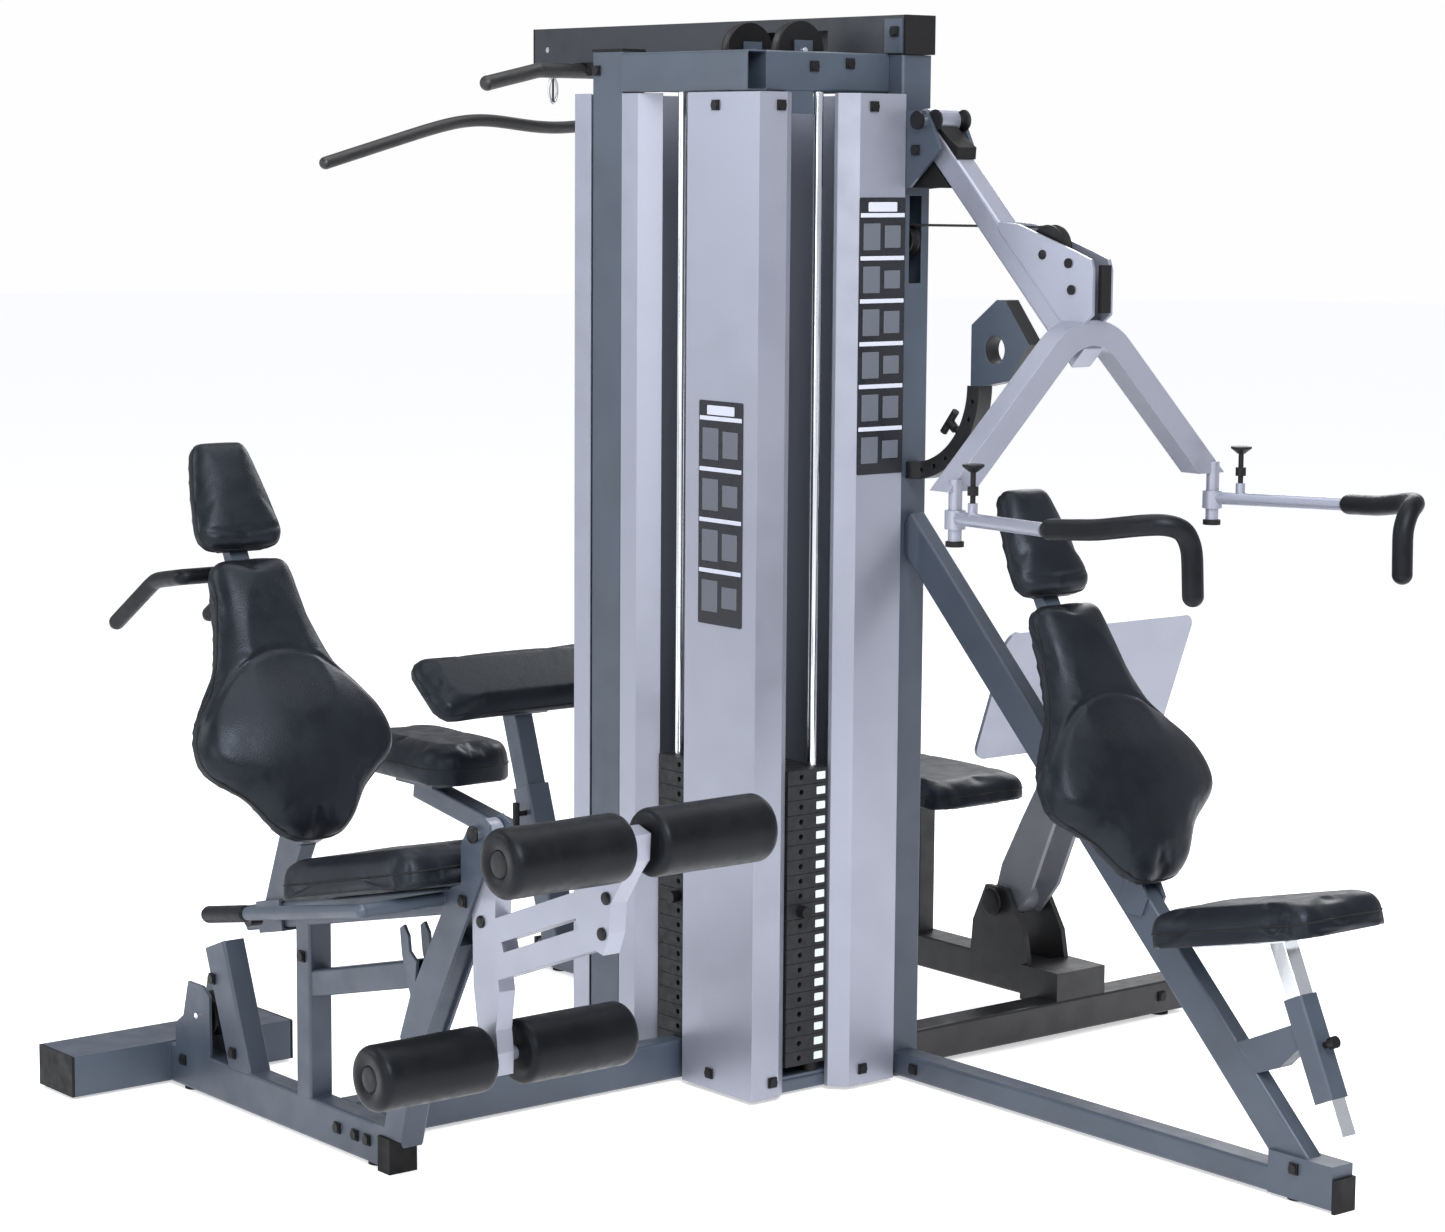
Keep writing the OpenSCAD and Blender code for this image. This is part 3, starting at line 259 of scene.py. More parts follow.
SLATE = (0.042, 0.055, 0.077)
PEARL = (0.262, 0.277, 0.335)
MATERIALS = {
    "slate_paint": powder_coat("slate_paint", SLATE, 0.40, 0.15),
    "silver_paint": metallic_paint("silver_paint", PEARL),
    "beam_paint": powder_coat("beam_paint", (0.012, 0.015, 0.021), 0.42, 0.1),
    "dark_paint": powder_coat("dark_paint", (0.007, 0.007, 0.008), 0.45),
    "grey_paint": powder_coat("grey_paint", (0.12, 0.125, 0.145), 0.42, 0.1),
    "chrome": chromed("chrome", (0.82, 0.84, 0.87), 0.12),
    "cast_iron": cast_iron("cast_iron", (0.004, 0.0045, 0.006)),
    "rubber": moulded("rubber", (0.005, 0.005, 0.0055), 0.62, 420.0, 0.2),
    "plastic": moulded("plastic", (0.005, 0.005, 0.006), 0.42),
    "foam": foam_rubber("foam", (0.0045, 0.0045, 0.0052)),
    "vinyl": upholstery("vinyl", (0.005, 0.0056, 0.0075)),
    "stitching": moulded("stitching", (0.005, 0.0055, 0.007), 0.6, 900.0, 0.3),
    "cable": braided("cable", (0.02, 0.02, 0.022)),
    "placard": moulded("placard", (0.014, 0.015, 0.019), 0.30, 240.0, 0.04),
    "placard_pale": moulded("placard_pale", (0.42, 0.44, 0.52), 0.40, 240.0, 0.04),
    "placard_grey": moulded("placard_grey", (0.085, 0.095, 0.115), 0.40, 240.0, 0.04),
    "label": moulded("label", (0.55, 0.60, 0.60), 0.45, 300.0, 0.05),
    "zinc": chromed("zinc", (0.62, 0.63, 0.64), 0.28),
}

for part in frame["record"]["subparts"]:
    shown = frame["nodes"][part["node"]]
    shown.data.materials.clear()
    shown.data.materials.append(MATERIALS[part["material_slot"]])

# ------------------------------------------------------------------ mesh tools


def add_piece(name, mesh, material, body=None):
    """A new object with its material and slot, riding on a body when one is given."""
    piece = bpy.data.objects.new(name, mesh)
    bpy.context.scene.collection.objects.link(piece)
    mesh.materials.clear()
    mesh.materials.append(MATERIALS[material])
    if body:
        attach(piece, body)
    return piece


def mesh_of(name, points, faces, smooth=True):
    mesh = bpy.data.meshes.new(name)
    mesh.from_pydata([tuple(p) for p in points], [], faces)
    mesh.validate()
    mesh.polygons.foreach_set("use_smooth", [smooth] * len(mesh.polygons))
    mesh.update()
    return mesh


def join_meshes(name, meshes, smooth=True):
    """One mesh out of several."""
    points, faces = [], []
    for mesh in meshes:
        base = len(points)
        points += [v.co.copy() for v in mesh.vertices]
        faces += [[base + i for i in p.vertices] for p in mesh.polygons]
    return mesh_of(name, points, faces, smooth)


def frames_along(points, closed):
    """A tangent and two normals at each point, turning as little as possible."""
    count = len(points)
    result, normal = [], None
    for i in range(count):
        if closed:
            tangent = points[(i + 1) % count] - points[i - 1]
        else:
            tangent = points[min(i + 1, count - 1)] - points[max(i - 1, 0)]
        tangent.normalize()
        if normal is None:
            normal = tangent.orthogonal()
        normal = (normal - tangent * normal.dot(tangent)).normalized()
        result.append((tangent, normal, tangent.cross(normal)))
    return result


def swept(name, points, radius, sides=14, closed=False):
    """A round rope along points. radius is one number, or a list with one to a point."""
    points = [Vector(p) for p in points]
    radii = radius if isinstance(radius, list) else [radius] * len(points)
    ring_points, faces = [], []
    for i, (_, a, b) in enumerate(frames_along(points, closed)):
        for k in range(sides):
            turn = 2 * math.pi * k / sides
            ring_points.append(points[i] + (a * math.cos(turn) + b * math.sin(turn)) * radii[i])
    rings = len(points)
    for i in range(rings if closed else rings - 1):
        j = (i + 1) % rings
        for k in range(sides):
            n = (k + 1) % sides
            faces.append([i * sides + k, i * sides + n, j * sides + n, j * sides + k])
    if not closed:
        faces.append(list(range(sides))[::-1])
        faces.append([(rings - 1) * sides + k for k in range(sides)])
    return mesh_of(name, ring_points, faces)


def turned(name, profile, place=Matrix.Identity(4), steps=48):
    """A lathe part about local Z. profile is (radius, z) from one end on the axis to the other."""
    points, faces, rows = [], [], []
    for r, z in profile:
        if r < 1e-7:
            rows.append([len(points)])
            points.append(place @ Vector((0, 0, z)))
            continue
        rows.append(list(range(len(points), len(points) + steps)))
        for k in range(steps):
            turn = 2 * math.pi * k / steps
            points.append(place @ Vector((r * math.cos(turn), r * math.sin(turn), z)))
    for low, high in zip(rows, rows[1:]):
        for k in range(steps):
            n = (k + 1) % steps
            face = [low[k % len(low)], low[n % len(low)], high[n % len(high)], high[k % len(high)]]
            face = [p for i, p in enumerate(face) if p not in face[:i]]
            if len(face) > 2:
                faces.append(face)
    return mesh_of(name, points, faces)


def soft_corner(centre_r, centre_z, radius, start, end, steps=5):
    """Profile points round a corner, from one angle to another in degrees."""
    turns = [math.radians(start + (end - start) * i / steps) for i in range(steps + 1)]
    return [(centre_r + radius * math.cos(t), centre_z + radius * math.sin(t)) for t in turns]


def slab(name, outline, thickness, place=Matrix.Identity(4), edge=0.0008):
    """A flat plate with a bevelled rim: outline in local XY, from z = 0 to thickness."""
    shape = bmesh.new()
    base = shape.faces.new([shape.verts.new((x, y, 0)) for x, y in outline])
    grown = bmesh.ops.extrude_face_region(shape, geom=[base])["geom"]
    moved = [v for v in grown if isinstance(v, bmesh.types.BMVert)]
    bmesh.ops.translate(shape, vec=(0, 0, thickness), verts=moved)
    bmesh.ops.recalc_face_normals(shape, faces=shape.faces)
    if edge:
        rim = [e for e in shape.edges if len({round(v.co.z, 6) for v in e.verts}) == 1]
        bmesh.ops.bevel(shape, geom=rim, offset=edge, segments=2, affect="EDGES", profile=0.5)
    shape.transform(place)
    mesh = bpy.data.meshes.new(name)
    shape.to_mesh(mesh)
    shape.free()
    return mesh


def rounded_rectangle(width, height, radius, steps=6):
    outline = []
    for quarter, (sx, sy) in enumerate(((1, 1), (-1, 1), (-1, -1), (1, -1))):
        for i in range(steps + 1):
            turn = math.radians(90 * quarter + 90 * i / steps)
            outline.append((
                sx * (width / 2 - radius) + radius * math.cos(turn),
                sy * (height / 2 - radius) + radius * math.sin(turn),
            ))
    return outline


def disc(radius, steps=32):
    return [(radius * math.cos(2 * math.pi * i / steps), radius * math.sin(2 * math.pi * i / steps))
            for i in range(steps)]


def facing(origin, normal, up=(0, 0, 1)):
    """A place whose local Z is normal and whose local Y is as near up as it can be."""
    z = Vector(normal).normalized()
    x = Vector(up).cross(z)
    x = x.normalized() if x.length > 1e-6 else Vector((1, 0, 0))
    y = z.cross(x)
    return Matrix.Translation(Vector(origin)) @ Matrix((x, y, z)).transposed().to_4x4()


def middle(node):
    low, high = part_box(node)
    return (low + high) / 2


# ------------------------------------------------------------------ upholstery


def loose_parts(node, place):
    """The CAD solid's separate parts as point arrays in a pad's own frame."""
    mesh = frame["nodes"][node].data
    shape = bmesh.new()
    shape.from_mesh(mesh)
    bmesh.ops.remove_doubles(shape, verts=shape.verts, dist=1e-6)
    shape.transform(place.inverted())
    left, parts = set(shape.verts), []
    while left:
        queue, found = [left.pop()], []
        while queue:
            vert = queue.pop()
            found.append(tuple(vert.co))
            for link in vert.link_edges:
                other = link.other_vert(vert)
                if other in left:
                    left.remove(other)
                    queue.append(other)
        parts.append(np.array(found))
    shape.free()
    return sorted(parts, key=lambda p: p[:, 1].mean())


def outline_of(points):
    """Outline in local XY of an upright prism, ordered round its centre and evenly spaced."""
    flat = np.unique(np.round(points[:, :2], 5), axis=0)
    centre = (flat.min(0) + flat.max(0)) / 2
    order = np.argsort(np.arctan2(flat[:, 1] - centre[1], flat[:, 0] - centre[0]))
    flat = flat[order]
    closed = np.vstack([flat, flat[:1]])
    lengths = np.r_[0, np.cumsum(np.hypot(*np.diff(closed, axis=0).T))]
    spots = np.linspace(0, lengths[-1], 161)[:-1]
    even = np.stack([np.interp(spots, lengths, closed[:, i]) for i in (0, 1)], 1)
    for _ in range(3):
        even = (np.roll(even, 1, 0) + 2 * even + np.roll(even, -1, 0)) / 4
    return even


def inward(outline, amount):
    """The outline moved in by amount."""
    along = np.roll(outline, -1, 0) - np.roll(outline, 1, 0)
    along /= np.linalg.norm(along, axis=1)[:, None]
    return outline + amount * np.stack([-along[:, 1], along[:, 0]], 1)


def edge_distance(points, outline):
    """Distance of each local XY point to the outline."""
    a, b = outline, np.roll(outline, -1, 0)
    ab = b - a
    best = np.full(len(points), 1e9)
    for start, step in zip(a, ab):
        t = np.clip(((points - start) @ step) / (step @ step), 0, 1)
        best = np.minimum(best, np.linalg.norm(points - start - t[:, None] * step, axis=1))
    return best


def run_modifier(piece):
    """Applies the piece's modifiers to its mesh."""
    graph = bpy.context.evaluated_depsgraph_get()
    done = bpy.data.meshes.new_from_object(piece.evaluated_get(graph))
    piece.modifiers.clear()
    old, piece.data = piece.data, done
    bpy.data.meshes.remove(old)


def coordinates(mesh):
    co = np.empty(len(mesh.vertices) * 3)
    mesh.vertices.foreach_get("co", co)
    return co.reshape(-1, 3)


def write_coordinates(mesh, co):
    mesh.vertices.foreach_set("co", co.ravel())
    mesh.update()


CLOTH_FRAMES = 20
PRESSURE = 4.0
COVER_INSET = 0.003
SIDE_SHARE = 0.45
SEAM_DEPTH = 0.0045
SEAM_WIDTH = 0.0065


def puff(piece, held, most):
    """Blows the cover up as cloth. held marks the points fixed to the board; none moves over most."""
    rest = coordinates(piece.data)
    group = piece.vertex_groups.new(name="board")
    group.add([int(i) for i in np.nonzero(held)[0]], 1.0, "REPLACE")
    cloth = piece.modifiers.new("cloth", "CLOTH")
    settings = cloth.settings
    settings.quality = 4
    settings.mass = 0.25
    settings.tension_stiffness = 12
    settings.compression_stiffness = 12
    settings.bending_stiffness = 0.6
    settings.use_pressure = True
    settings.uniform_pressure_force = PRESSURE
    settings.effector_weights.gravity = 0
    settings.vertex_group_mass = "board"
    cloth.collision_settings.use_collision = False
    cloth.point_cache.frame_end = CLOTH_FRAMES
    for step in range(1, CLOTH_FRAMES + 1):
        bpy.context.scene.frame_set(step)
    run_modifier(piece)
    bpy.context.scene.frame_set(1)
    piece.vertex_groups.clear()
    moved = coordinates(piece.data) - rest
    size = np.linalg.norm(moved, axis=1)
    share = np.where(size > most, most / np.maximum(size, 1e-9), 1.0)
    write_coordinates(piece.data, rest + moved * share[:, None])


def cushion(name, points, thickness, place, crown, voxel=0.007, shoulder=0.024, most=0.007,
            channels=()):
    """An upholstered pad. Local XY is the pad's plane and local Z its soft side.

    crown(x, y) gives the height at a point; channels are sewn grooves as functions of x and y
    that are 0 along the seam.
    """
    outline = inward(outline_of(points), COVER_INSET)
    mesh = slab(name, outline, thickness, edge=0)
    piece = add_piece(name, mesh, "vinyl")
    remesh = piece.modifiers.new("remesh", "REMESH")
    remesh.mode = "VOXEL"
    remesh.voxel_size = voxel
    run_modifier(piece)
    co = coordinates(piece.data)
    depth = edge_distance(co[:, :2], outline)
    height = crown(co[:, 0], co[:, 1])
    side = thickness * SIDE_SHARE
    dome = np.sqrt(1 - (1 - np.clip(depth / shoulder, 0, 1)) ** 2)
    share = np.clip(co[:, 2] / thickness, 0, 1)
    co[:, 2] = share * (side + (height - side) * dome)
    write_coordinates(piece.data, co)
    puff(piece, share < 0.06, most)
    soft = piece.modifiers.new("soft", "SUBSURF")
    soft.levels = soft.render_levels = 1
    run_modifier(piece)
    co = coordinates(piece.data)
    for channel in channels:
        away = np.abs(channel(co[:, 0], co[:, 1]))
        top = np.clip((co[:, 2] - side) / (thickness - side), 0, 1)
        co[:, 2] -= SEAM_DEPTH * np.exp(-((away / SEAM_WIDTH) ** 2)) * top
    write_coordinates(piece.data, co)
    piece.data.polygons.foreach_set("use_smooth", [True] * len(piece.data.polygons))
    piece.data.transform(place)
    return piece, outline, side


WELT_RADIUS = 0.0021


def piping(name, mesh, outline, height, place, body):
    """The welt sewn round a pad, where its top meets its side; it lies on the cover."""
    cover = BVHTree.FromPolygons([v.co for v in mesh.vertices], [p.vertices for p in mesh.polygons])
    path = []
    for (ax, ay), (bx, by) in zip(inward(outline, -0.020), inward(outline, 0.012)):
        start, end = place @ Vector((ax, ay, height)), place @ Vector((bx, by, height))
        found = cover.ray_cast(start, end - start)[0]
        path.append(found or start.lerp(end, 0.625))
    for _ in range(2):
        path = [(path[i - 1] + 2 * p + path[(i + 1) % len(path)]) / 4 for i, p in enumerate(path)]
    rope = swept(name, path, WELT_RADIUS, 8, closed=True)
    return add_piece(name, rope, "stitching", body)


def board(name, outline, place, body, depth=0.010):
    """The dished tray under a pad."""
    rim = [tuple(p) for p in inward(outline, 0.010)]
    low = Matrix.Translation((0, 0, 0.0004))
    return add_piece(name, slab(name, rim, depth, place @ low, 0.003), "plastic", body)


def seat_place(node, tilt):
    """Place of a seat's middle, its front tilted up by tilt degrees."""
    return Matrix.Translation(middle(node)) @ Matrix.Rotation(math.radians(-tilt), 4, "Y")


def thickness_of(parts):
    return max(p[:, 2].max() for p in parts) - min(p[:, 2].min() for p in parts)


def seat(node, tilt, body, dip=0.0):
    """A seat cushion: crowned, a little lower in the middle, with a welt round it."""
    centre = seat_place(node, tilt)
    parts = loose_parts(node, centre)
    thickness = thickness_of(parts)
    place = centre @ Matrix.Translation((0, 0, -thickness / 2))
    points = parts[0] + np.array([0, 0, thickness / 2])
    half = np.abs(points[:, :2]).max(0)

    def crown(x, y):
        saddle = 1 - 0.5 * (x / half[0]) ** 2 - 0.5 * (y / half[1]) ** 2
        return thickness * (0.92 - dip * saddle) + 0.004 * saddle

    piece, outline, side = cushion(node + "_cushion", points, thickness, place, crown=crown)
    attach(piece, body)
    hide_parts(node)
    piping(node + "_welt", piece.data, outline, side * 0.9, place, body)
    board(node + "_board", outline, place, body)
    return piece


def back_place(node, lean, thickness):
    """Place of a back pad: local X across, local Y up the pad, local Z out of its front."""
    low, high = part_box(node)
    corner = Vector((high.x, (low.y + high.y) / 2, low.z + thickness * math.sin(math.radians(lean))))
    lean_back = Matrix.Translation(corner) @ Matrix.Rotation(math.radians(-lean), 4, "Y")
    axes = Matrix(((0, 0, 1), (1, 0, 0), (0, 1, 0))).to_4x4()
    return lean_back @ axes @ Matrix.Translation((0, 0, -thickness))


BACK_THICKNESS = 0.050
LUMBAR_HEIGHT = 0.190
WAIST_HEIGHT = 0.335


def back_crown(x, y):
    """The lumbar half swells like a pillow; the narrow upper half is nearly flat."""
    swell = np.exp(-(((y - LUMBAR_HEIGHT) / 0.125) ** 2))
    across = 1 - (x / 0.24) ** 2
    upper = np.clip((y - WAIST_HEIGHT) / 0.12, 0, 1)
    return 0.044 + 0.046 * swell * across + 0.006 * upper * (1 - (x / 0.12) ** 2)


def head_crown(x, y):
    """Nearly flat across."""
    return 0.046 - 0.006 * (x / 0.09) ** 2


def waist_line(x, y):
    """The seam between the lumbar pillow and the upper panel, arched upwards in the middle."""
    return y - (WAIST_HEIGHT + 0.030 - 3.6 * x**2)


def head_line(x, y):
    """The seam along the head pad's lower edge."""
    return y - (0.606 + 1.6 * x**2)


def back_pads(node, lean, body, shapes=None):
    """Back and head cushions on one bracket. shapes are finished meshes to use again."""
    place = back_place(node, lean, BACK_THICKNESS)
    parts = loose_parts(node, place)
    finished = []
    plans = (("back", parts[0], back_crown, waist_line), ("head", parts[1], head_crown, head_line))
    for i, (part, points, crown, line) in enumerate(plans):
        name = f"{node}_{part}"
        if shapes:
            mesh, outline, side, home = shapes[i]
            mesh = mesh.copy()
            mesh.transform(place @ home.inverted())
            piece = add_piece(name, mesh, "vinyl")
        else:
            piece, outline, side = cushion(name, points, BACK_THICKNESS, place, crown=crown,
                                           channels=(line,), shoulder=0.028, most=0.009)
        finished.append((piece.data, outline, side, place))
        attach(piece, body)
        if i == 0:
            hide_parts(node)
        piping(name + "_welt", piece.data, outline, side * 0.85, place, body)
        board(name + "_board", outline, place, body)
    return finished


SEAT_TILT = 13.0
RAIL_LEAN = 12.5
PRESS_LEAN = 29.3
LEG_LEAN = 26.5
CURL_SLOPE = -38.0
LEG_PRESS_LEAN = 19.0

shapes = back_pads("press_back_pads", PRESS_LEAN, "press_backrest")
back_pads("leg_back_pads", LEG_LEAN, "leg_backrest", shapes)
seat("press_seat", SEAT_TILT, "press_saddle", 0.05)
seat("leg_seat", RAIL_LEAN, "frame", 0.08)
seat("lat_seat", 0.0, "frame", 0.04)
seat("curl_pad", CURL_SLOPE, "curl_support")


def leg_press_pads():
    """The leg press seat and its leaning back pad, which share one CAD node."""
    parts = loose_parts("leg_press_pads", Matrix.Identity(4))
    bottom = min(parts, key=lambda p: p[:, 2].max())
    back = max(parts, key=lambda p: p[:, 2].max())
    seat_t = bottom[:, 2].max() - bottom[:, 2].min()
    centre = (bottom.min(0) + bottom.max(0)) / 2
    place = Matrix.Translation((centre[0], centre[1], bottom[:, 2].min()))
    piece, outline, side = cushion("leg_press_seat", bottom - np.array(place.translation), seat_t, place,
                                   crown=lambda x, y: seat_t * (0.95 - 2 * x**2), voxel=0.009)
    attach(piece, "frame")
    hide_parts("leg_press_pads")
    piping("leg_press_seat_welt", piece.data, outline, side * 0.9, place, "frame")
    board("leg_press_seat_board", outline, place, "frame")

    lean = Matrix.Rotation(math.radians(-LEG_PRESS_LEAN), 4, "Y")
    turn = lean @ Matrix(((0, 0, 1), (1, 0, 0), (0, 1, 0))).to_4x4()
    local = np.array([turn.inverted() @ Vector(p) for p in back])
    start = Vector((0, (local[:, 1].min() + local[:, 1].max()) / 2, local[:, 2].min()))
    place = Matrix.Translation((0, LEG_PRESS_Y, 0)) @ turn @ Matrix.Translation(start)
    local = np.array([place.inverted() @ Vector(p) for p in back])
    back_t = local[:, 2].max()
    piece, outline, side = cushion("leg_press_back", local, back_t, place,
                                   crown=lambda x, y: back_t * (0.95 - 3 * x**2), voxel=0.009)
    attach(piece, "frame")
    piping("leg_press_back_welt", piece.data, outline, side * 0.9, place, "frame")
    board("leg_press_back_board", outline, place, "frame")


leg_press_pads()

# ------------------------------------------------------------------ foam rollers and grips


def roller(name, node, body, inner, side):
    """One foam roller: dense tube with soft rounded ends and a moulded end plug."""
    low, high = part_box(node)
    radius = (high.z - low.z) / 2 - 0.0005
    centre = (low + high) / 2
    length = (high.y - low.y) / 2 - inner
    bore = 0.01262
    place = Matrix.Translation((centre.x, centre.y + side * inner, centre.z))
    place = place @ Matrix.Rotation(math.radians(-90 * side), 4, "X")
    body_steps = [(radius, 0.016 + (length - 0.034) * i / 24) for i in range(1, 24)]
    profile = [(bore, 0.0), (radius - 0.018, 0.0)]
    profile += soft_corner(radius - 0.014, 0.014, 0.014, -90, 0)
    profile += body_steps
    profile += soft_corner(radius - 0.016, length - 0.016, 0.016, 0, 90)
    profile += [(0.026, length - 0.0005), (0.024, length - 0.003), (0.0, length - 0.003)]
    inside = [(0.0, length - 0.008), (bore, length - 0.008), (bore, 0.0)]
    mesh = turned(name, profile + inside, place, 72)
    co = coordinates(mesh)
    away = np.hypot(co[:, 0] - centre.x, co[:, 2] - centre.z)
    for i in np.nonzero(away > radius - 0.006)[0]:
        wobble = noise.noise(Vector((co[i, 0] * 18, co[i, 1] * 9, co[i, 2] * 18)) + Vector((side, 0, 0)))
        pull = 1 - 0.0010 * (0.6 + wobble) / away[i]
        co[i, 0] = centre.x + (co[i, 0] - centre.x) * pull
        co[i, 2] = centre.z + (co[i, 2] - centre.z) * pull
    write_coordinates(mesh, co)
    piece = add_piece(name, mesh, "foam", body)
    plug = [(0.0, length - 0.0035), (0.023, length - 0.0035), (0.023, length - 0.0022),
            (0.020, length - 0.0010), (0.006, length - 0.0006), (0.0, length - 0.0012)]
    add_piece(name + "_plug", turned(name + "_plug", plug, place, 36), "plastic", body)
    return piece


for node, body, inner in (("upper_rollers", "upper_foam", 0.027), ("lower_rollers", "lower_foam", 0.034)):
    for label, side in (("near", -1), ("far", 1)):
        made = roller(f"{node}_{label}", node, body, inner, side)
        if side < 0:
            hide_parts(node)


def softened(corners, rounds, step=0.005):
    """Evenly spaced points along a bent bar, its bends drawn round."""
    corners = [Vector(c) for c in corners]
    path = []
    for start, end in zip(corners, corners[1:]):
        count = max(1, round((end - start).length / step))
        path += [start.lerp(end, i / count) for i in range(count)]
    path.append(corners[-1])
    for _ in range(rounds):
        path = [p if i in (0, len(path) - 1) else (path[i - 1] + 2 * p + path[i + 1]) / 4
                for i, p in enumerate(path)]
    return path


def round_ended(name, path, radius):
    """A bar along path with round ends."""
    fine = []
    for i, p in enumerate(path[:-1]):
        splits = 5 if i < 4 or i > len(path) - 7 else 1
        fine += [p.lerp(path[i + 1], k / splits) for k in range(splits)]
    fine.append(path[-1])
    run = np.r_[0, np.cumsum([(b - a).length for a, b in zip(fine, fine[1:])])]
    to_end = np.minimum(np.minimum(run, run[-1] - run), radius)
    radii = np.sqrt(np.maximum(radius**2 - (radius - to_end) ** 2, 1e-8))
    return swept(name, fine, list(radii), 28)


def mirrored(corners, centre_y):
    """Corners given as (x, distance from the centre plane, z), for each side in turn."""
    return [(label, side, [(x, centre_y + side * y, z) for x, y, z in corners])
            for label, side in (("left", -1), ("right", 1))]


GRIP = [(1.056, 0.391, 1.197), (1.165, 0.366, 1.204), (1.250, 0.346, 1.218), (1.286, 0.324, 1.222),
        (1.298, 0.290, 1.212), (1.300, 0.272, 1.178), (1.304, 0.270, 1.078)]
for label, side, corners in mirrored(GRIP, PRESS_Y):
    sleeve = round_ended(f"{label}_grip_sleeve", softened(corners, 14), 0.0188)
    made = add_piece(sleeve.name, sleeve, "foam", f"{label}_handlebar")
    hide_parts(f"{label}_grip")

LAT_BAR = [(-0.915, 0.605, 1.810), (-0.915, 0.206, 1.921), (-0.915, 0.054, 1.890)]
outer = [(x, PRESS_Y - y, z) for x, y, z in LAT_BAR]
inner = [(x, PRESS_Y + y, z) for x, y, z in LAT_BAR[::-1]]
made = add_piece("lat_bar_smooth", round_ended("lat_bar_smooth", softened(outer + inner, 450), 0.0135),
                 "dark_paint", "pulldown_bar")
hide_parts("lat_bar")

REAR_HAND_BAR = [(-0.611, 0.104, 0.918), (-0.445, 0.104, 1.023), (-0.343, 0.104, 1.039)]
near = [(x, LEG_Y - y, z) for x, y, z in REAR_HAND_BAR]
far = [(x, LEG_Y + y, z) for x, y, z in REAR_HAND_BAR[::-1]]
path = softened(softened(near, 12) + softened(far, 12), 2)
sleeve = round_ended("rear_hand_sleeve", path, 0.0155)
add_piece(sleeve.name, sleeve, "foam", "leg_backrest")

SIDE_HANDLE = [(0.030, 0.190, 0.468), (-0.128, 0.190, 0.4385)]
for label, side, corners in mirrored(SIDE_HANDLE, LEG_Y):
    sleeve = round_ended(f"{label}_side_handle_sleeve", softened(corners, 0), 0.0160)
    add_piece(sleeve.name, sleeve, "foam", "frame")

# ------------------------------------------------------------------ placards and labels


def placard(name, place, width, height, rows):
    """A dark instruction panel with blank plates: no lettering and no figures."""
    base = slab(name, rounded_rectangle(width, height, 0.004), 0.0012, place, 0.0004)
    add_piece(name, base, "placard", "frame")
    header = place @ Matrix.Translation((0, height / 2 - 0.018, 0.0012))
    title = slab(name + "_title", rounded_rectangle(width * 0.62, 0.018, 0.002), 0.0006, header, 0.0002)
    add_piece(name + "_title", title, "placard_pale", "frame")
    pitch = (height - 0.040) / rows
    bars, cells, windows = [], [], []
    for row in range(rows):
        bottom = -height / 2 + 0.006 + row * pitch
        line = place @ Matrix.Translation((0, bottom + pitch, 0.0012))
        bars.append(slab("bar", rounded_rectangle(width - 0.006, 0.008, 0.001), 0.0006, line, 0.0002))
        for share, part, store in ((-0.23, 0.36, cells), (0.22, 0.34, windows)):
            spot = place @ Matrix.Translation((share * width, bottom + pitch / 2, 0.0012))
            tall = pitch * (0.62 if store is cells else 0.42 + 0.1 * (row % 2))
            plate = rounded_rectangle(part * width, tall, 0.0015)
            store.append(slab("cell", plate, 0.0006, spot, 0.0002))
    add_piece(name + "_bars", join_meshes(name + "_bars", bars, False), "placard_pale", "frame")
    add_piece(name + "_cells", join_meshes(name + "_cells", cells, False), "placard_grey", "frame")
    add_piece(name + "_windows", join_meshes(name + "_windows", windows, False), "placard_grey", "frame")


column_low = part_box("corner_column")[0]
cover_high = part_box("right_covers")[1]
placard("column_placard", facing((column_low.x + 0.110, column_low.y - 0.0002, 1.150), (0, -1, 0)),
        0.134, 0.434, 4)
placard("cover_placard", facing((cover_high.x + 0.0002, 0.065, 1.490), (1, 0, 0)), 0.118, 0.534, 6)


PLATE_PITCH = 0.0295
PLATE_END_X = 0.272
PLATE_FOOT = 0.0605


def stack_labels(name, body, first, last):
    tags = []
    for i in range(first, last):
        spot = facing((PLATE_END_X + 0.0002, -0.046, PLATE_FOOT + 0.0143 + i * PLATE_PITCH), (1, 0, 0))
        tags.append(slab("tag", rounded_rectangle(0.022, 0.015, 0.0015), 0.0005, spot, 0.0002))
    add_piece(name, join_meshes(name, tags, False), "label", body)


stack_labels("rest_labels", "frame", 0, 10)
stack_labels("lifted_labels", "right_stack", 10, 20)

# ------------------------------------------------------------------ cables

CABLE_RADIUS = 0.0026
CABLE_STEPS = 24


def stretched_cable(name, start, end):
    """A straight cable from a fixed wheel to a moving part."""
    line = [Vector(start).lerp(Vector(end), i / CABLE_STEPS) for i in range(CABLE_STEPS + 1)]
    mesh = swept(name, line, CABLE_RADIUS, 10)
    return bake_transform(add_piece(name, mesh, "cable"))


bar_low, bar_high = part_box("lat_bar")
lat_wheel_low, lat_wheel_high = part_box("lat_pulley")
lat_line = (bar_low.x + bar_high.x) / 2
lat_top = (lat_wheel_low.z + lat_wheel_high.z) / 2
stretched_cable("lat_cable", (lat_line, PRESS_Y, lat_top), (lat_line, PRESS_Y, bar_high.z - 0.006))

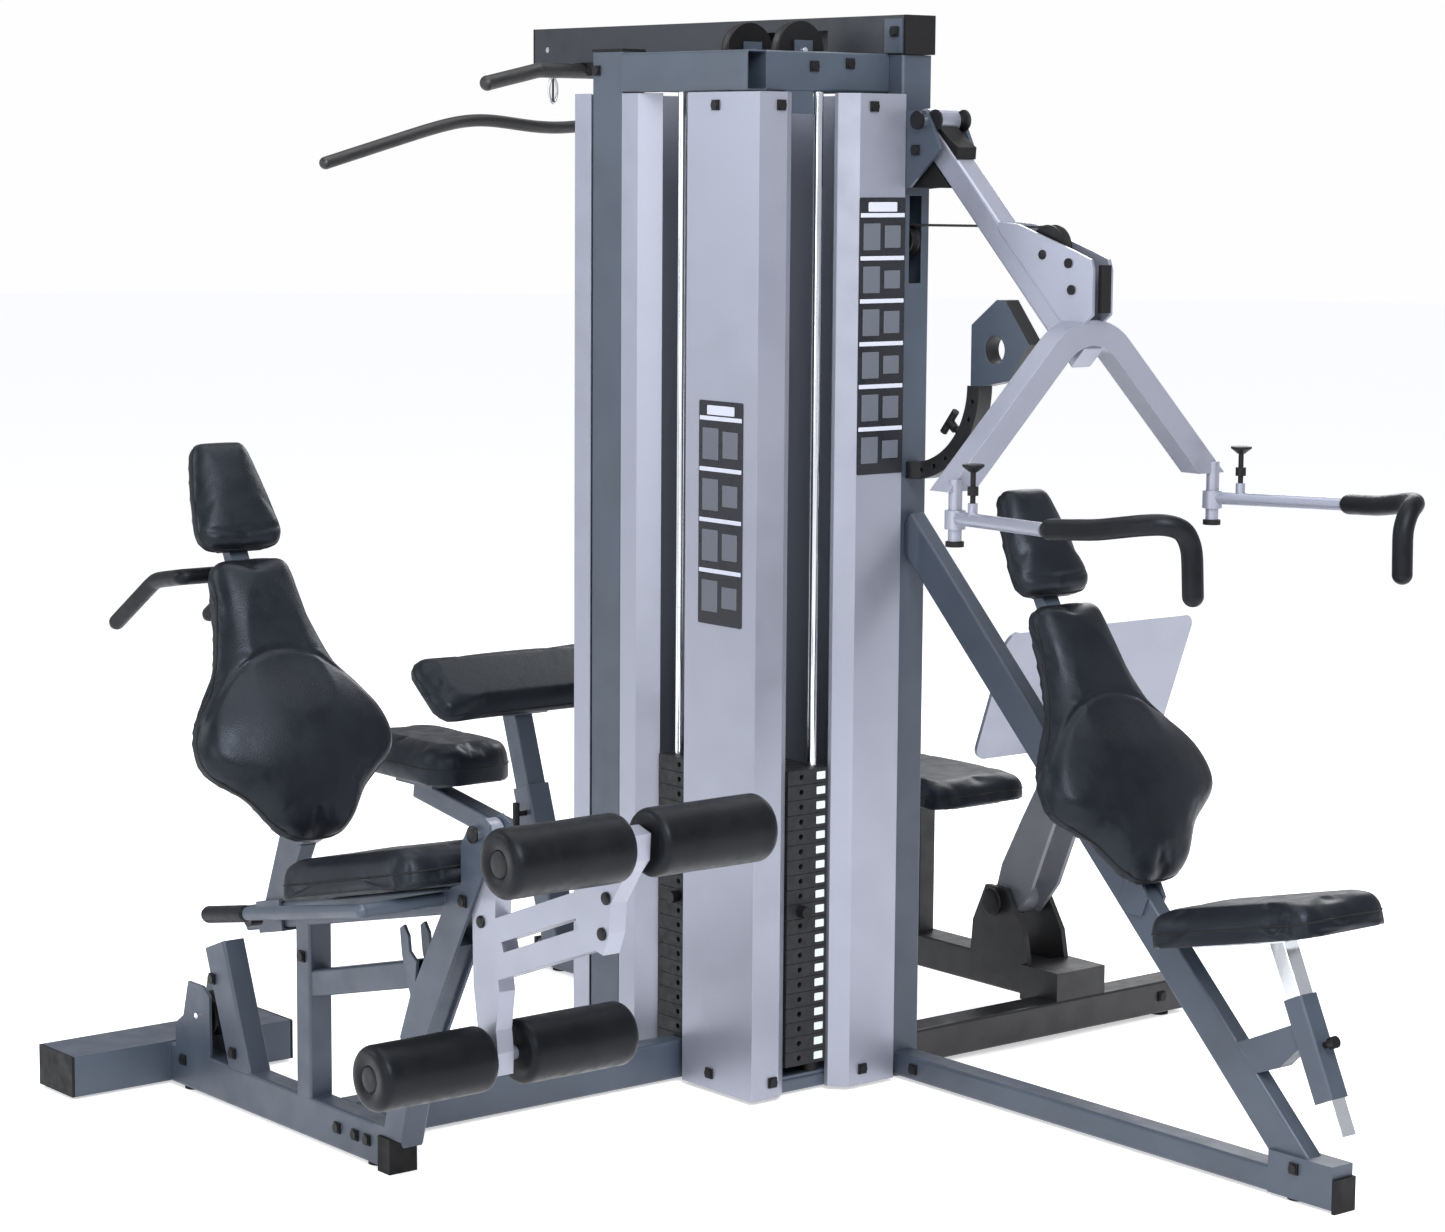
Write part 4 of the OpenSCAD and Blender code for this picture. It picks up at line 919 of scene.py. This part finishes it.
for side in ("left", "right"):
    wheel = middle(f"{side}_stack_pulley")
    stem_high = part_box(f"{side}_lifted_stack")[1]
    spot = (wheel.x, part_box(f"{side}_stack_pulley")[0].y + 0.004)
    stretched_cable(f"{side}_stack_cable", (*spot, wheel.z), (*spot, stem_high.z - 0.004))
    ferrule = [(0, 0), (0.0075, 0), (0.0085, 0.002), (0.0085, 0.020), (0.005, 0.028),
               (0.0028, 0.030), (0, 0.030)]
    add_piece(f"{side}_ferrule",
              turned(f"{side}_ferrule", ferrule, Matrix.Translation((*spot, stem_high.z)), 24),
              "zinc", f"{side}_stack")

slot_wheel, arm_wheel = middle("slot_pulley"), middle("arm_pulley")
slot_top = Vector((slot_wheel.x, PRESS_Y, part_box("slot_pulley")[1].z - 0.004))
arm_top = Vector((arm_wheel.x, PRESS_Y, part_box("arm_pulley")[1].z - 0.004))
stretched_cable("press_cable", slot_top, arm_top)

# ------------------------------------------------------------------ small hardware


def round_cap(name, spot, normal, body, radius, height):
    """A domed cap over a bolt or the end of a shaft."""
    wall = height * 0.45
    dome = soft_corner(radius * 0.62, 0, radius * 0.38, 0, 75, 4)[1:]
    squeeze = (height - wall) / dome[-1][1]
    profile = [(0, 0), (radius, 0), (radius, wall)]
    profile += [(r, wall + z * squeeze) for r, z in dome]
    profile += [(radius * 0.3, height * 1.04), (0, height * 1.06)]
    return add_piece(name, turned(name, profile, facing(spot, normal), 36), "plastic", body)


def lat_clip():
    """Swivel and snap hook between the lat cable and the bar."""
    eye = Vector((lat_line, PRESS_Y, bar_high.z))
    barrel = [(0, 0), (0.010, 0), (0.012, 0.003), (0.012, 0.022), (0.008, 0.030), (0.0045, 0.033), (0, 0.033)]
    place = Matrix.Translation(eye + Vector((0, 0, 0.045)))
    add_piece("lat_swivel", turned("lat_swivel", barrel, place, 28), "zinc", "pulldown_bar")
    loop = []
    for i in range(48):
        turn = 2 * math.pi * i / 48
        loop.append(eye + Vector((0, 0.011 * math.cos(turn), 0.020 + 0.028 * math.sin(turn))))
    add_piece("lat_hook", swept("lat_hook", loop, 0.0032, 12, closed=True), "zinc", "pulldown_bar")


lat_clip()


def plate_face(name, outline, hole, radius, place, thickness=0.0008):
    """A thin facing for a plate with one round hole."""
    centre = Vector(hole)
    corners = [Vector(p) - centre for p in outline]
    even = {2 * math.pi * i / 48 - math.pi for i in range(48)}
    turns = sorted({math.atan2(c.y, c.x) for c in corners} | even)
    rings = [[], []]
    for turn in turns:
        aim = Vector((math.cos(turn), math.sin(turn)))
        reach = []
        for a, b in zip(corners, corners[1:] + corners[:1]):
            span = b - a
            cross = aim.x * span.y - aim.y * span.x
            if abs(cross) > 1e-9:
                far = (a.x * span.y - a.y * span.x) / cross
                share = (a.x * aim.y - a.y * aim.x) / cross
                if far > 0 and -1e-6 <= share <= 1 + 1e-6:
                    reach.append(far)
        rings[0].append(centre + aim * radius)
        rings[1].append(centre + aim * min(reach))
    points = [place @ Vector((p.x, p.y, z)) for z in (0, thickness) for ring in rings for p in ring]
    n = len(turns)
    faces = []
    for i in range(n):
        j = (i + 1) % n
        for a, b in ((2 * n, 3 * n), (n, 0), (3 * n, n), (0, 2 * n)):
            faces.append([a + i, b + i, b + j, a + j])
    return mesh_of(name, points, faces, False)


GUIDE_PLATE = [(0.469, 1.4005), (0.469, 1.517), (0.538, 1.567), (0.560, 1.567), (0.628, 1.486),
               (0.575, 1.415), (0.500, 1.4005)]
for label, side in (("near", -1), ("far", 1)):
    name = f"range_plate_{label}"
    place = Matrix.Translation((0, PRESS_Y + side * 0.0171, 0)) @ Matrix.Rotation(math.pi / 2, 4, "X")
    if side > 0:
        place = place @ Matrix.Translation((0, 0, -0.0008))
    face = plate_face(name, GUIDE_PLATE, (0.535, 1.472), 0.027, place)
    add_piece(name, face, "slate_paint", "frame")


# Caps on both sides of a part: name, body, middle plane, (x, distance from that plane, z),
# radius and height.
CAPS = [
    ("arm_cap_{}", "press_lever", PRESS_Y, (0.669, 0.0265, 1.656), 0.009, 0.004),
    ("arm_end_cap_{}", "press_lever", PRESS_Y, (0.3785, 0.0362, 1.905), 0.021, 0.003),
    ("lever_cap_{}_0", "leg_swing", LEG_Y, (0.872, 0.017, 0.618), 0.011, 0.005),
    ("lever_cap_{}_1", "leg_swing", LEG_Y, (0.861, 0.017, 0.556), 0.011, 0.005),
    ("lever_cap_{}_2", "leg_swing", LEG_Y, (0.512, 0.017, 0.515), 0.011, 0.005),
    ("leg_press_cap_{}", "frame", LEG_PRESS_Y, (0.060, 0.070, 0.260), 0.030, 0.008),
    ("knee_cap_{}", "frame", LEG_Y, (0.510, 0.032, 0.670), 0.0155, 0.006),
]
for label, side in (("near", -1), ("far", 1)):
    for name, body, centre_y, (x, half, z), radius, height in CAPS:
        spot = (x, centre_y + side * half, z)
        round_cap(name.format(label), spot, (0, side, 0), body, radius, height)

# ------------------------------------------------------------------ stage, lights and camera


STAGE_RADIUS = 40.0
BACKDROP = 0.99


def build_stage():
    """A wide pale floor that runs into a backdrop of the same brightness."""
    paper = Surface("stage_paper", (0.86, 0.86, 0.87), 0.8)
    paper.vary_roughness(paper.noise(3.0, 2.0), 0.75, 0.85)
    paper.set("Emission Color", (1, 1, 1, 1))
    paper.set("Emission Strength", 0.52)
    rim = [(x, y, -0.0005) for x, y in disc(STAGE_RADIUS, 64)]
    sheet = bpy.data.objects.new("stage_sheet", mesh_of("stage_sheet", rim, [list(range(len(rim)))]))
    sheet.data.materials.append(paper.material)
    bpy.context.scene.collection.objects.link(sheet)


def build_world():
    """Soft light all round; the camera sees a plain backdrop."""
    world = bpy.data.worlds.new("studio")
    world.use_nodes = True
    nodes, links = world.node_tree.nodes, world.node_tree.links
    light = nodes["Background"]
    light.inputs["Color"].default_value = (0.92, 0.94, 1.0, 1)
    light.inputs["Strength"].default_value = 0.55
    seen = nodes.new("ShaderNodeBackground")
    seen.inputs["Color"].default_value = (BACKDROP, BACKDROP, BACKDROP, 1)
    mix = nodes.new("ShaderNodeMixShader")
    links.new(nodes.new("ShaderNodeLightPath").outputs["Is Camera Ray"], mix.inputs["Fac"])
    links.new(light.outputs["Background"], mix.inputs[1])
    links.new(seen.outputs["Background"], mix.inputs[2])
    links.new(mix.outputs["Shader"], nodes["World Output"].inputs["Surface"])
    bpy.context.scene.world = world


def area_light(name, spot, target, size, power, colour=(1, 1, 1)):
    light = bpy.data.lights.new(name, "AREA")
    light.shape = "RECTANGLE"
    light.size, light.size_y = size
    light.energy = power
    light.color = colour
    lamp = bpy.data.objects.new(name, light)
    lamp.location = spot
    lamp.rotation_euler = (Vector(target) - Vector(spot)).to_track_quat("-Z", "Y").to_euler()
    bpy.context.scene.collection.objects.link(lamp)


AZIMUTH = 51.115
PITCH = 7.479
ROLL = 0.414
EYE = (5.38989, -4.42357, 1.83130)
LENS = 87.03

build_stage()
area_light("key", (4.6, -2.2, 4.4), (0.1, -0.2, 0.9), (2.6, 2.6), 390)
area_light("left", (-3.4, -5.0, 3.0), (-0.2, -0.4, 0.9), (2.2, 3.0), 105, (0.93, 0.96, 1.0))
area_light("front", (2.2, -5.8, 2.2), (0.1, -0.2, 0.8), (3.0, 2.4), 95)
area_light("rear", (-2.5, 4.5, 3.8), (0, 0, 1.0), (3.0, 2.4), 120)
area_light("top", (0.2, -0.2, 5.2), (0, 0, 0), (4.5, 4.5), 150)

build_world()
bpy.context.scene.view_settings.view_transform = "Standard"

camera = bpy.data.objects.new("camera", bpy.data.cameras.new("camera"))
camera.data.lens = LENS
camera.data.sensor_width = 36.0
turns = (Matrix.Rotation(math.radians(AZIMUTH), 4, "Z") @ Matrix.Rotation(math.radians(90 - PITCH), 4, "X")
         @ Matrix.Rotation(math.radians(ROLL), 4, "Z"))
camera.matrix_world = Matrix.Translation(EYE) @ turns
bpy.context.scene.collection.objects.link(camera)
bpy.context.scene.camera = camera
